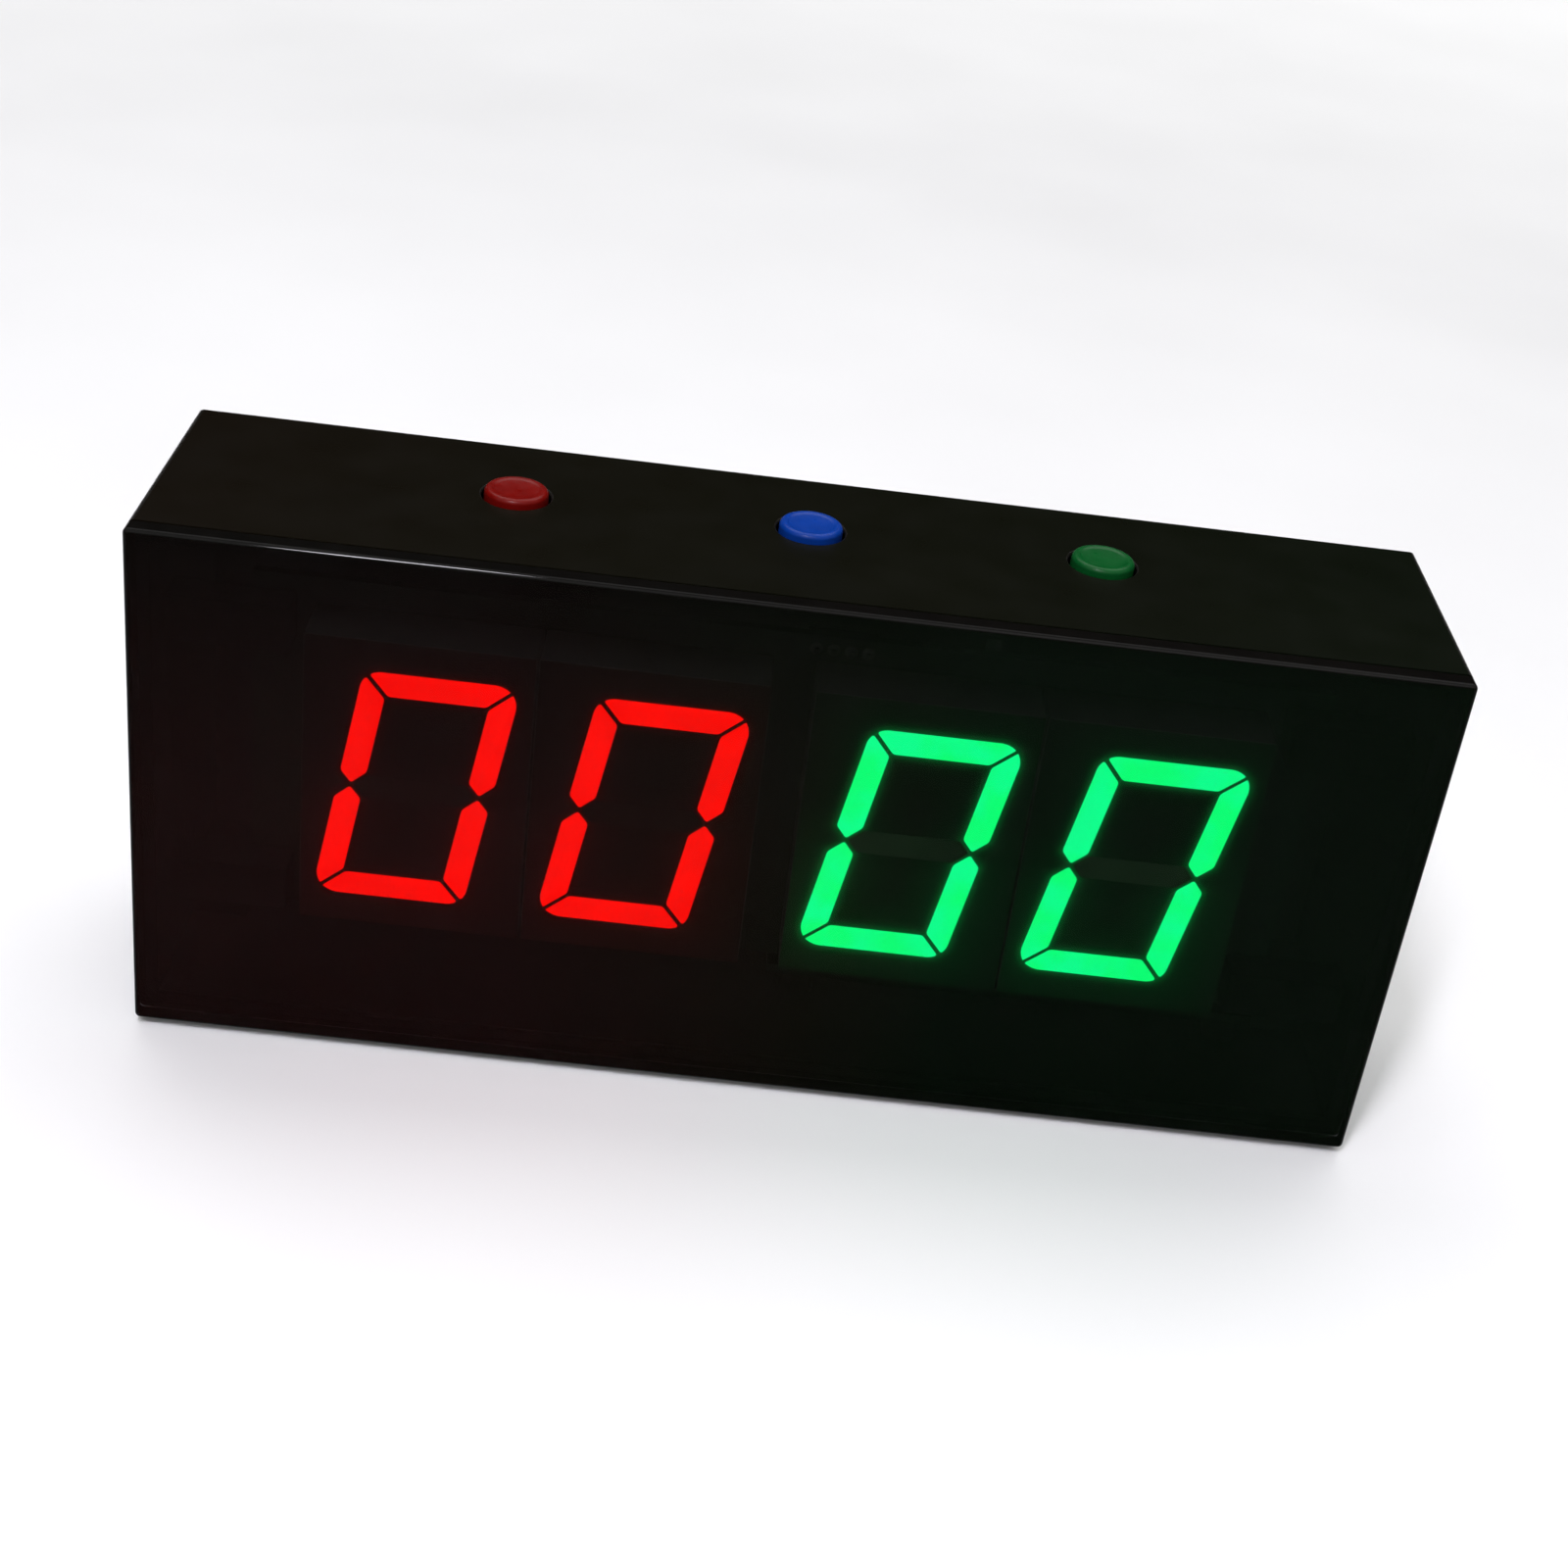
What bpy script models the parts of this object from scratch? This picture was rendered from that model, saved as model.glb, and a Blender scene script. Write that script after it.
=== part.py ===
"""Gym round timer: a slim box with a smoked front panel, four LED digits and three top buttons.

Frame: +X is right seen from the front, the front faces -Y, +Z is up. The origin lies in the
surface that the timer stands on, under the middle of the case.
"""

import math

import bmesh
import bpy
from mathutils import Vector

MM = 0.001

# Driving dimensions of the case
CASE_WIDTH = 186.0 * MM
CASE_HEIGHT = 81.4 * MM
CASE_DEPTH = 44.3 * MM
WALL = 2.8 * MM
EDGE_RADIUS = 0.8 * MM
RIM_RADIUS = 0.4 * MM
GAP = 0.3 * MM
FOOT_HEIGHT = 1.2 * MM

FRONT_Y = -CASE_DEPTH / 2
BACK_Y = CASE_DEPTH / 2
BOTTOM_Z = FOOT_HEIGHT
TOP_Z = FOOT_HEIGHT + CASE_HEIGHT
INNER_X = CASE_WIDTH / 2 - WALL
FLOOR_Z = BOTTOM_Z + WALL
CEILING_Z = TOP_Z - WALL

# Front panel and the adhesive ring in the rebate of the case's rim
PANEL_THICKNESS = 3.0 * MM
PANEL_EDGE = 0.5 * MM
RIM_LIP = 0.9 * MM
REBATE_DEPTH = 0.8 * MM
ADHESIVE_THICKNESS = 0.5 * MM
RIM_Y = FRONT_Y + PANEL_THICKNESS + GAP

# Rear cover, set back between the walls
COVER_THICKNESS = 2.5 * MM
COVER_SETBACK = 1.5 * MM
COVER_OUTER_Y = BACK_Y - COVER_SETBACK
COVER_INNER_Y = COVER_OUTER_Y - COVER_THICKNESS
COVER_SCREW_X = 86.0 * MM
COVER_SCREW_Z = (FLOOR_Z + 4.2 * MM, CEILING_Z - 4.2 * MM)
COVER_PLAY = 0.35 * MM
POST_LENGTH = 14.0 * MM
POST_REACH = 4.2 * MM
POST_PILOT = 10.0 * MM

# Ears for the display board, and bosses and pegs for the other boards
EAR_HALF = 3.5 * MM
EAR_DEPTH = 6.0 * MM
EAR_PILOT = 5.0 * MM
BOSS_RADIUS = 3.0 * MM
SWITCH_PILOT = 5.0 * MM
CONTROL_PILOT = 4.5 * MM
PEG_RADIUS = 1.0 * MM
PEG_RISE = 1.0 * MM

# Feet
FOOT_RADIUS = 5.0 * MM
FOOT_X = 80.0 * MM
FOOT_Y = 14.0 * MM
FOOT_RECESS = 0.6 * MM
FOOT_EDGE = 0.4 * MM

# Seven-segment digit modules
DIGIT_HEIGHT = 38.1 * MM
DIGIT_WIDTH = 22.6 * MM
DIGIT_STROKE = 3.85 * MM
DIGIT_SLANT = math.tan(math.radians(10.0))
SEGMENT_GAP = 0.6 * MM
POINT_HEIGHT = 2.0 * MM
WIDE_CORNER = 4.0 * MM
TIGHT_CORNER = 2.6 * MM
MODULE_WIDTH = 33.2 * MM
MODULE_HEIGHT = 48.0 * MM
MODULE_DEPTH = 9.5 * MM
MODULE_FACE_Y = FRONT_Y + 7.5 * MM
MODULE_BACK_Y = MODULE_FACE_Y + MODULE_DEPTH
MODULE_WALL = 1.0 * MM
POTTING_DEPTH = 2.5 * MM
DIGIT_Z = BOTTOM_Z + 40.9 * MM
DIGIT_X = (-53.2 * MM, -19.7 * MM, 19.7 * MM, 53.2 * MM)

# Circuit boards
BOARD_THICKNESS = 1.6 * MM
DISPLAY_BOARD_SIZE = (158.0 * MM, 56.0 * MM)
DISPLAY_BOARD_Y = MODULE_BACK_Y + GAP
DISPLAY_BACK_Y = DISPLAY_BOARD_Y + BOARD_THICKNESS
DISPLAY_SCREW_X = 76.0 * MM
DISPLAY_SCREW_Z = (DIGIT_Z - 22.0 * MM, DIGIT_Z + 22.0 * MM)
HEADER_X = 6.6 * MM
HEADER_Z = BOTTOM_Z + 66.8 * MM
HEADER_PITCH = 2.54 * MM
HEADER_PINS = 4
HEADER_BLOCK = 2.5 * MM
HEADER_REACH = 1.5 * MM
PIN_HALF = 0.32 * MM
PIN_TIP = 0.9 * MM
PIN_DROP = 9.0 * MM
PIN_HOLE = 0.65 * MM
DISPLAY_PLUG_LENGTH = 14.0 * MM
DISPLAY_PLUG_TOP_Z = HEADER_Z - 1.6 * MM
DRIVER_CHIP_X = (-39.0 * MM, -21.0 * MM)
DRIVER_CHIP_HALF = 3.8 * MM
DRIVER_CHIP_THICKNESS = 2.4 * MM
CHIP_EDGE = 0.2 * MM

# Buttons and their switches
BUTTON_X = {"red": -42.9 * MM, "blue": 0.0, "green": 42.9 * MM}
BUTTON_Y = FRONT_Y + 26.1 * MM
BUTTON_RADIUS = 4.65 * MM
BUTTON_HOLE_RADIUS = 5.05 * MM
HOLE_CHAMFER = 0.25 * MM
BUTTON_PROUD = 1.1 * MM
BUTTON_TOP_Z = TOP_Z + BUTTON_PROUD
CAP_HEIGHT = 5.5 * MM
CAP_FLANGE_RADIUS = 5.9 * MM
CAP_FLANGE_HEIGHT = 1.2 * MM
CAP_RIM = 0.6 * MM
CAP_ROOF = 1.6 * MM
SWITCH_SIDE = 12.0 * MM
SWITCH_HEIGHT = 3.5 * MM
SWITCH_WELL_RADIUS = 3.7 * MM
PLUNGER_SIDE = 3.8 * MM
PLUNGER_COLLAR = 2.5 * MM
WELL_FLOOR = 1.0 * MM
SWITCH_CORNER = 0.8 * MM
SWITCH_BOARD_SIZE = (104.0 * MM, 15.0 * MM)
SWITCH_BOARD_TOP_Z = BUTTON_TOP_Z - 10.1 * MM
SWITCH_BOARD_Z = SWITCH_BOARD_TOP_Z - BOARD_THICKNESS
SWITCH_SCREW_X = 21.45 * MM

# Control board on the case floor, and what it carries
CONTROL_BOARD_X = (2.0 * MM, 80.0 * MM)
CONTROL_BOARD_Y = (-1.4 * MM, 17.4 * MM)
CONTROL_BOARD_Z = FLOOR_Z + 4.0 * MM
CONTROL_TOP_Z = CONTROL_BOARD_Z + BOARD_THICKNESS
PART_Z = CONTROL_TOP_Z + GAP
CONTROL_SCREWS = ((7.0 * MM, 1.8 * MM), (76.0 * MM, 14.2 * MM))
CONTROL_PEGS = ((7.0 * MM, 14.2 * MM), (76.0 * MM, 1.8 * MM))
CONTROLLER_CENTRE = (48.0 * MM, 5.5 * MM)
CONTROLLER_HALF = 3.5 * MM
CONTROLLER_THICKNESS = 1.4 * MM
INLET_X = 66.0 * MM
INLET_SIZE = (9.0 * MM, 8.0 * MM, 3.3 * MM)
INLET_CORNER = 1.4 * MM
INLET_WALL = 0.35 * MM
INLET_DEPTH = 6.5 * MM
TONGUE_SIZE = (6.6 * MM, 6.6 * MM, 0.7 * MM)
TONGUE_SETBACK = 0.6 * MM
OPENING_PLAY = 0.8 * MM
POWER_SWITCH_X = 50.0 * MM
POWER_SWITCH_SIZE = (8.6 * MM, 4.0 * MM, 3.6 * MM)
POWER_SWITCH_Y = (13.6 * MM, 17.6 * MM)
SLIDER_SIZE = (2.0 * MM, 1.4 * MM)
SLIDER_TRAVEL = 2.0 * MM
SLIDER_EDGE = 0.25 * MM
SLIDER_SLOT_PLAY = 1.1 * MM
SLIDER_SLOT_CORNER = 0.5 * MM
SLIDER_ON_X = POWER_SWITCH_X + SLIDER_TRAVEL / 2
SLIDER_Y = (15.6 * MM, BACK_Y - 0.25 * MM)
BUZZER_CENTRE = (36.5 * MM, 8.5 * MM)
BUZZER_RADIUS = 6.0 * MM
BUZZER_HEIGHT = 8.5 * MM
BUZZER_EDGE = 0.5 * MM
BUZZER_HOLE_RADIUS = 1.2 * MM
BUZZER_HOLE_DEPTH = 2.0 * MM
SOUND_SLOTS = 4
SOUND_SLOT_SIZE = (16.0 * MM, 1.4 * MM)
SOUND_SLOT_CORNER = 0.69 * MM
SOUND_SLOT_PITCH = 2.8 * MM
SOUND_SLOT_Z = FLOOR_Z + 8.0 * MM
SOCKETS = {
    "display": (13.5 * MM, 10.5 * MM, 9.4 * MM),
    "switch": (24.5 * MM, 10.5 * MM, 9.4 * MM),
    "battery": (60.0 * MM, 4.0 * MM, 5.6 * MM),
}
SOCKET_DEPTH = 4.6 * MM
SOCKET_HEIGHT = 6.0 * MM
SOCKET_WALL = 0.7 * MM
SOCKET_FLOOR = 1.3 * MM
PLUG_RISE = 1.5 * MM

# Battery
BATTERY_SIZE = (60.0 * MM, 8.0 * MM, 34.0 * MM)
BATTERY_X = -40.0 * MM
BATTERY_Z = 42.0 * MM
BATTERY_CORNER = 2.5 * MM
TAPE_SIZE = (50.0 * MM, 0.8 * MM, 28.0 * MM)

# Cables inside the case
CABLE_RADIUS = 1.2 * MM
BATTERY_CABLE_RADIUS = 1.0 * MM
CABLE_LEAD = 4.0 * MM
SWITCH_CABLE_X = 30.0 * MM
BATTERY_CABLE_Z = 50.0 * MM

# Screws: radii of head, shank and hole, and the height of the head
SMALL_SCREW = {"head": 2.3 * MM, "rise": 1.6 * MM, "shank": 1.0 * MM, "hole": 1.4 * MM}
COVER_SCREW = {"head": 2.8 * MM, "rise": 1.5 * MM, "shank": 1.2 * MM, "hole": 1.6 * MM}
COVER_SCREW_LENGTH = 9.5 * MM
DISPLAY_SCREW_LENGTH = 6.4 * MM
SWITCH_SCREW_LENGTH = 6.2 * MM
CONTROL_SCREW_LENGTH = 5.6 * MM
SCREW_TIP = 0.4 * MM
CROSS_REACH = 1.5 * MM
CROSS_HALF = 0.35 * MM
CROSS_DEPTH = 0.8 * MM

# Number of flats that stand for a circle
ROUND_STEPS = 28
SMALL_STEPS = 12

COLOURS = {
    "smoked_acrylic": ((0.012, 0.010, 0.010), 0.05, 0.0),
    "black_adhesive": ((0.010, 0.010, 0.010), 0.9, 0.0),
    "case_black": ((0.014, 0.013, 0.011), 0.5, 0.0),
    "cover_black": ((0.018, 0.018, 0.017), 0.6, 0.0),
    "rubber": ((0.02, 0.02, 0.02), 0.85, 0.0),
    "steel": ((0.55, 0.55, 0.56), 0.3, 1.0),
    "module_grey": ((0.30, 0.30, 0.29), 0.5, 0.0),
    "segment_red": ((0.9, 0.02, 0.01), 0.4, 0.0),
    "segment_green": ((0.02, 0.85, 0.2), 0.4, 0.0),
    "board_green": ((0.01, 0.09, 0.04), 0.35, 0.0),
    "chip_black": ((0.015, 0.015, 0.016), 0.5, 0.0),
    "connector_white": ((0.7, 0.69, 0.64), 0.5, 0.0),
    "button_red": ((0.30, 0.012, 0.006), 0.35, 0.0),
    "button_blue": ((0.02, 0.08, 0.5), 0.35, 0.0),
    "button_green": ((0.015, 0.17, 0.06), 0.35, 0.0),
    "switch_black": ((0.02, 0.02, 0.02), 0.45, 0.0),
    "plunger_white": ((0.75, 0.74, 0.7), 0.5, 0.0),
    "cable_grey": ((0.25, 0.25, 0.26), 0.6, 0.0),
    "battery_blue": ((0.05, 0.12, 0.3), 0.35, 0.0),
    "foam_tape": ((0.6, 0.6, 0.58), 0.9, 0.0),
}


# ---------------------------------------------------------------- helpers

def clear_scene():
    for old in list(bpy.data.objects):
        bpy.data.objects.remove(old)


def material(name):
    """The named material, made once."""
    found = bpy.data.materials.get(name)
    if found:
        return found
    colour, roughness, metallic = COLOURS[name]
    made = bpy.data.materials.new(name)
    made.use_nodes = True
    shader = made.node_tree.nodes["Principled BSDF"]
    shader.inputs["Base Color"].default_value = (*colour, 1.0)
    shader.inputs["Roughness"].default_value = roughness
    shader.inputs["Metallic"].default_value = metallic
    return made


def add_object(name, bm, material_name, location=(0, 0, 0), smooth=False):
    """Turns a bmesh into a placed object with its material."""
    bmesh.ops.recalc_face_normals(bm, faces=bm.faces)
    mesh = bpy.data.meshes.new(name)
    bm.to_mesh(mesh)
    bm.free()
    if smooth:
        mesh.shade_smooth()
        mesh.set_sharp_from_angle(angle=math.radians(35))
    made = bpy.data.objects.new(name, mesh)
    made.location = location
    bpy.context.scene.collection.objects.link(made)
    if material_name:
        mesh.materials.append(material(material_name))
    return made


def box(low, high, bm=None):
    """A box between two corners, added to bm."""
    bm = bm or bmesh.new()
    low, high = Vector(low), Vector(high)
    corners = bmesh.ops.create_cube(bm, size=1.0)["verts"]
    middle = (low + high) / 2
    size = high - low
    for corner in corners:
        corner.co = Vector(a * b for a, b in zip(corner.co, size)) + middle
    return bm


def round_edges(bm, chosen, radius, steps=2):
    """Rounds the edges that chosen(edge direction, edge middle) picks."""
    picked = []
    for edge in bm.edges:
        start, end = (v.co for v in edge.verts)
        if chosen((end - start).normalized(), (start + end) / 2):
            picked.append(edge)
    bmesh.ops.bevel(
        bm, geom=picked, offset=radius, segments=steps, profile=0.5, affect="EDGES"
    )
    return bm


def along(axis):
    """Picks edges that run along one axis."""
    return lambda direction, middle: abs(direction[axis]) > 0.99


def turned(profile, steps=ROUND_STEPS, bm=None, centre=(0, 0, 0)):
    """Solid of revolution about Z. profile is (radius, z) pairs from bottom centre to top centre."""
    bm = bm or bmesh.new()
    centre = Vector(centre)
    rings = []
    for radius, height in profile:
        if radius == 0:
            rings.append([bm.verts.new(centre + Vector((0, 0, height)))])
            continue
        ring = []
        for step in range(steps):
            angle = 2 * math.pi * step / steps
            spoke = Vector((radius * math.cos(angle), radius * math.sin(angle), height))
            ring.append(bm.verts.new(centre + spoke))
        rings.append(ring)
    for lower, upper in zip(rings, rings[1:]):
        for step in range(steps):
            after = (step + 1) % steps
            corners = [lower[step % len(lower)], lower[after % len(lower)]]
            corners += [upper[after % len(upper)], upper[step % len(upper)]]
            bm.faces.new(list(dict.fromkeys(corners)))
    return bm


def rod(radius, low, high, steps=SMALL_STEPS, bm=None, centre=(0, 0, 0)):
    """A plain cylinder along Z from low to high."""
    profile = ((0, low), (radius, low), (radius, high), (0, high))
    return turned(profile, steps, bm, centre)


def prism(outline, y_low, y_high, bm=None):
    """Extrudes an outline of (x, z) points along Y."""
    bm = bm or bmesh.new()
    front = [bm.verts.new((x, y_low, z)) for x, z in outline]
    back = [bm.verts.new((x, y_high, z)) for x, z in outline]
    bm.faces.new(front)
    bm.faces.new(list(reversed(back)))
    for index in range(len(outline)):
        after = (index + 1) % len(outline)
        bm.faces.new((front[index], back[index], back[after], front[after]))
    return bm


def rounded_rectangle(width, height, radius, steps=3):
    """Outline of a rectangle with round corners, centred on the origin."""
    points = []
    quarter = math.pi / 2
    for corner, (sx, sz) in enumerate(((1, 1), (-1, 1), (-1, -1), (1, -1))):
        centre_x = sx * (width / 2 - radius)
        centre_z = sz * (height / 2 - radius)
        for step in range(steps + 1):
            angle = quarter * (corner + step / steps)
            x = centre_x + radius * math.cos(angle)
            z = centre_z + radius * math.sin(angle)
            points.append((x, z))
    return points


def moved(outline, dx, dz):
    return [(x + dx, z + dz) for x, z in outline]


def along_y(bm):
    """Turns a shape made about +Z so that its axis points along +Y."""
    for vert in bm.verts:
        vert.co = Vector((vert.co.x, vert.co.z, -vert.co.y))
    return bm


def combine(target, bm, operation, label):
    """Adds or cuts a shape with a Boolean whose other operand is hidden."""
    tool = add_object(f"{target.name}_{label}", bm, None)
    tool.hide_render = True
    tool.display_type = "WIRE"
    tool.parent = target
    modifier = target.modifiers.new(label, "BOOLEAN")
    modifier.operation = operation
    modifier.solver = "EXACT"
    modifier.object = tool


def cut(target, bm, label):
    combine(target, bm, "DIFFERENCE", label)


def join(target, bm, label):
    combine(target, bm, "UNION", label)


def smooth_route(points, spacing):
    """Points along a Catmull-Rom curve through the route's own points."""
    knots = [Vector(p) for p in points]
    knots = [2 * knots[0] - knots[1], *knots, 2 * knots[-1] - knots[-2]]
    route = []
    for before, start, end, after in zip(knots, knots[1:], knots[2:], knots[3:]):
        count = max(2, round((end - start).length / spacing))
        for step in range(count):
            t = step / count
            route.append(
                0.5 * (2 * start + (end - before) * t
                       + (2 * before - 5 * start + 4 * end - after) * t ** 2
                       + (3 * start - before - 3 * end + after) * t ** 3)
            )
    route.append(knots[-2])
    return route


def add_cable(name, points, radius):
    """A round cable along a smooth route, with filled ends."""
    curve = bpy.data.curves.new(name, "CURVE")
    curve.dimensions = "3D"
    curve.bevel_depth = radius
    curve.bevel_resolution = 2
    curve.use_fill_caps = True
    route = smooth_route(points, 3 * radius)
    spline = curve.splines.new("POLY")
    spline.points.add(len(route) - 1)
    for point, place in zip(spline.points, route):
        point.co = (*place, 1.0)
    curve.materials.append(material("cable_grey"))
    cable = bpy.data.objects.new(name, curve)
    bpy.context.scene.collection.objects.link(cable)
    return cable


# ---------------------------------------------------------------- case

def front_panel():
    bm = box(
        (-CASE_WIDTH / 2, FRONT_Y, BOTTOM_Z),
        (CASE_WIDTH / 2, FRONT_Y + PANEL_THICKNESS, TOP_Z),
    )
    round_edges(bm, lambda d, m: abs(m.y - FRONT_Y) < GAP / 2, PANEL_EDGE)
    add_object("front_panel", bm, "smoked_acrylic", smooth=True)


def panel_adhesive():
    inset = RIM_LIP + GAP
    low_y = RIM_Y
    high_y = RIM_Y + ADHESIVE_THICKNESS
    half = CASE_WIDTH / 2
    bm = box((-half + inset, low_y, BOTTOM_Z + inset), (half - inset, high_y, TOP_Z - inset))
    ring = add_object("panel_adhesive", bm, "black_adhesive")
    window = box((-INNER_X, low_y - GAP, FLOOR_Z), (INNER_X, high_y + GAP, CEILING_Z))
    cut(ring, window, "window")


def case_shell():
    half = CASE_WIDTH / 2
    bm = box((-half, RIM_Y, BOTTOM_Z), (half, BACK_Y, TOP_Z))
    round_edges(bm, along(1), EDGE_RADIUS, 3)
    round_edges(bm, lambda d, m: m.y > BACK_Y - GAP, RIM_RADIUS)
    shell = add_object("case_shell", bm, "case_black", smooth=True)
    inside = box((-INNER_X, RIM_Y - GAP, FLOOR_Z), (INNER_X, BACK_Y + GAP, CEILING_Z))
    cut(shell, inside, "inside")
    rebate = box(
        (-half + RIM_LIP, RIM_Y - GAP, BOTTOM_Z + RIM_LIP),
        (half - RIM_LIP, RIM_Y + REBATE_DEPTH, TOP_Z - RIM_LIP),
    )
    cut(shell, rebate, "rebate")
    cut(shell, case_recesses(), "recesses")
    join(shell, case_supports(), "supports")
    cut(shell, case_pilot_holes(), "pilot_holes")


def case_supports():
    """Corner posts, board ears, switch board bosses and control board bosses."""
    bm = bmesh.new()
    root = WALL / 2
    post_end = COVER_INNER_Y - GAP
    for side in (-1, 1):
        wall_x = side * (INNER_X + root)
        for z, wall_z in zip(COVER_SCREW_Z, (FLOOR_Z - root, CEILING_Z + root)):
            reach_x = side * (COVER_SCREW_X - POST_REACH)
            reach_z = z + math.copysign(POST_REACH, z - wall_z)
            low = (min(wall_x, reach_x), post_end - POST_LENGTH, min(wall_z, reach_z))
            high = (max(wall_x, reach_x), post_end, max(wall_z, reach_z))
            box(low, high, bm)
        ear_x = side * (DISPLAY_SCREW_X - EAR_HALF)
        for z in DISPLAY_SCREW_Z:
            low = (min(wall_x, ear_x), MODULE_BACK_Y - EAR_DEPTH, z - EAR_HALF)
            high = (max(wall_x, ear_x), MODULE_BACK_Y, z + EAR_HALF)
            box(low, high, bm)
        rod(BOSS_RADIUS, SWITCH_BOARD_TOP_Z + GAP, CEILING_Z + root, SMALL_STEPS, bm,
            (side * SWITCH_SCREW_X, BUTTON_Y, 0))
    shoulder = CONTROL_BOARD_Z - GAP
    for x, y in CONTROL_SCREWS:
        rod(BOSS_RADIUS, FLOOR_Z - root, shoulder, SMALL_STEPS, bm, (x, y, 0))
    peg_top = CONTROL_TOP_Z + PEG_RISE
    profile = ((0, FLOOR_Z - root), (BOSS_RADIUS, FLOOR_Z - root), (BOSS_RADIUS, shoulder))
    profile += ((PEG_RADIUS, shoulder), (PEG_RADIUS, peg_top), (0, peg_top))
    for x, y in CONTROL_PEGS:
        turned(profile, SMALL_STEPS, bm, (x, y, 0))
    return bm


def case_pilot_holes():
    bm = bmesh.new()
    post_end = COVER_INNER_Y - GAP
    for side in (-1, 1):
        for z in COVER_SCREW_Z:
            hole = along_y(rod(COVER_SCREW["hole"], post_end - POST_PILOT, post_end + GAP))
            add_shape(bm, hole, (side * COVER_SCREW_X, 0, z))
        for z in DISPLAY_SCREW_Z:
            start, end = MODULE_BACK_Y - EAR_PILOT, MODULE_BACK_Y + GAP
            hole = along_y(rod(SMALL_SCREW["hole"], start, end))
            add_shape(bm, hole, (side * DISPLAY_SCREW_X, 0, z))
        boss_end = SWITCH_BOARD_TOP_Z + GAP
        rod(SMALL_SCREW["hole"], boss_end - GAP, boss_end + SWITCH_PILOT, SMALL_STEPS, bm,
            (side * SWITCH_SCREW_X, BUTTON_Y, 0))
    boss_end = CONTROL_BOARD_Z - GAP
    for x, y in CONTROL_SCREWS:
        rod(SMALL_SCREW["hole"], boss_end - CONTROL_PILOT, boss_end + GAP, SMALL_STEPS, bm, (x, y, 0))
    return bm


def case_recesses():
    """Button holes in the top and shallow foot recesses in the bottom."""
    bm = bmesh.new()
    hole, mouth = BUTTON_HOLE_RADIUS, BUTTON_HOLE_RADIUS + HOLE_CHAMFER
    profile = ((0, CEILING_Z - MM), (hole, CEILING_Z - MM), (hole, TOP_Z - HOLE_CHAMFER))
    profile += ((mouth, TOP_Z), (mouth, TOP_Z + MM), (0, TOP_Z + MM))
    for x in BUTTON_X.values():
        turned(profile, ROUND_STEPS, bm, (x, BUTTON_Y, 0))
    for x, y in foot_places():
        rod(FOOT_RADIUS + GAP, BOTTOM_Z - MM, BOTTOM_Z + FOOT_RECESS, ROUND_STEPS, bm, (x, y, 0))
    return bm


def add_shape(bm, other, offset):
    """Copies another bmesh into bm at an offset, and frees it."""
    offset = Vector(offset)
    copies = {vert: bm.verts.new(vert.co + offset) for vert in other.verts}
    for face in other.faces:
        bm.faces.new([copies[vert] for vert in face.verts])
    other.free()


def foot_places():
    return [(sx * FOOT_X, sy * FOOT_Y) for sy in (-1, 1) for sx in (-1, 1)]


def feet():
    height = FOOT_HEIGHT + FOOT_RECESS - GAP
    profile = ((0, 0), (FOOT_RADIUS - FOOT_EDGE, 0), (FOOT_RADIUS, FOOT_EDGE))
    profile += ((FOOT_RADIUS, height), (0, height))
    for number, (x, y) in enumerate(foot_places(), 1):
        add_object(f"foot_{number}", turned(profile), "rubber", (x, y, 0), smooth=True)


def rear_cover():
    bm = box(
        (-INNER_X + COVER_PLAY, COVER_INNER_Y, FLOOR_Z + COVER_PLAY),
        (INNER_X - COVER_PLAY, COVER_OUTER_Y, CEILING_Z - COVER_PLAY),
    )
    round_edges(bm, along(1), EDGE_RADIUS)
    cover = add_object("rear_cover", bm, "cover_black", smooth=True)
    cut(cover, cover_screw_holes(), "screw_holes")
    cut(cover, cover_openings(), "openings")


def cover_screw_holes():
    bm = bmesh.new()
    hole = COVER_SCREW["hole"]
    sink = COVER_SCREW["head"] + GAP
    for side in (-1, 1):
        for z in COVER_SCREW_Z:
            low, high = COVER_INNER_Y - MM, COVER_OUTER_Y + MM
            start = COVER_OUTER_Y - COVER_SCREW["rise"]
            profile = ((0, low), (hole, low), (hole, start), (sink, COVER_OUTER_Y))
            profile += ((sink, high), (0, high))
            add_shape(bm, along_y(turned(profile)), (side * COVER_SCREW_X, 0, z))
    return bm


def cover_openings():
    """Charge inlet cut-out, slider slot and the row of sound slots."""
    low, high = COVER_INNER_Y - MM, COVER_OUTER_Y + MM
    width, height = INLET_SIZE[0] + OPENING_PLAY, INLET_SIZE[2] + OPENING_PLAY
    inlet = rounded_rectangle(width, height, INLET_CORNER + OPENING_PLAY / 2)
    bm = prism(moved(inlet, INLET_X, PART_Z + INLET_SIZE[2] / 2), low, high)
    width = SLIDER_SIZE[0] + SLIDER_TRAVEL + SLIDER_SLOT_PLAY
    slot = rounded_rectangle(width, SLIDER_SIZE[1] + SLIDER_SLOT_PLAY, SLIDER_SLOT_CORNER)
    prism(moved(slot, POWER_SWITCH_X, slider_z()), low, high, bm)
    for row in range(SOUND_SLOTS):
        slot = rounded_rectangle(*SOUND_SLOT_SIZE, SOUND_SLOT_CORNER)
        z = SOUND_SLOT_Z + row * SOUND_SLOT_PITCH
        prism(moved(slot, BUZZER_CENTRE[0], z), low, high, bm)
    return bm


def slider_z():
    return PART_Z + POWER_SWITCH_SIZE[2] / 2


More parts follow.
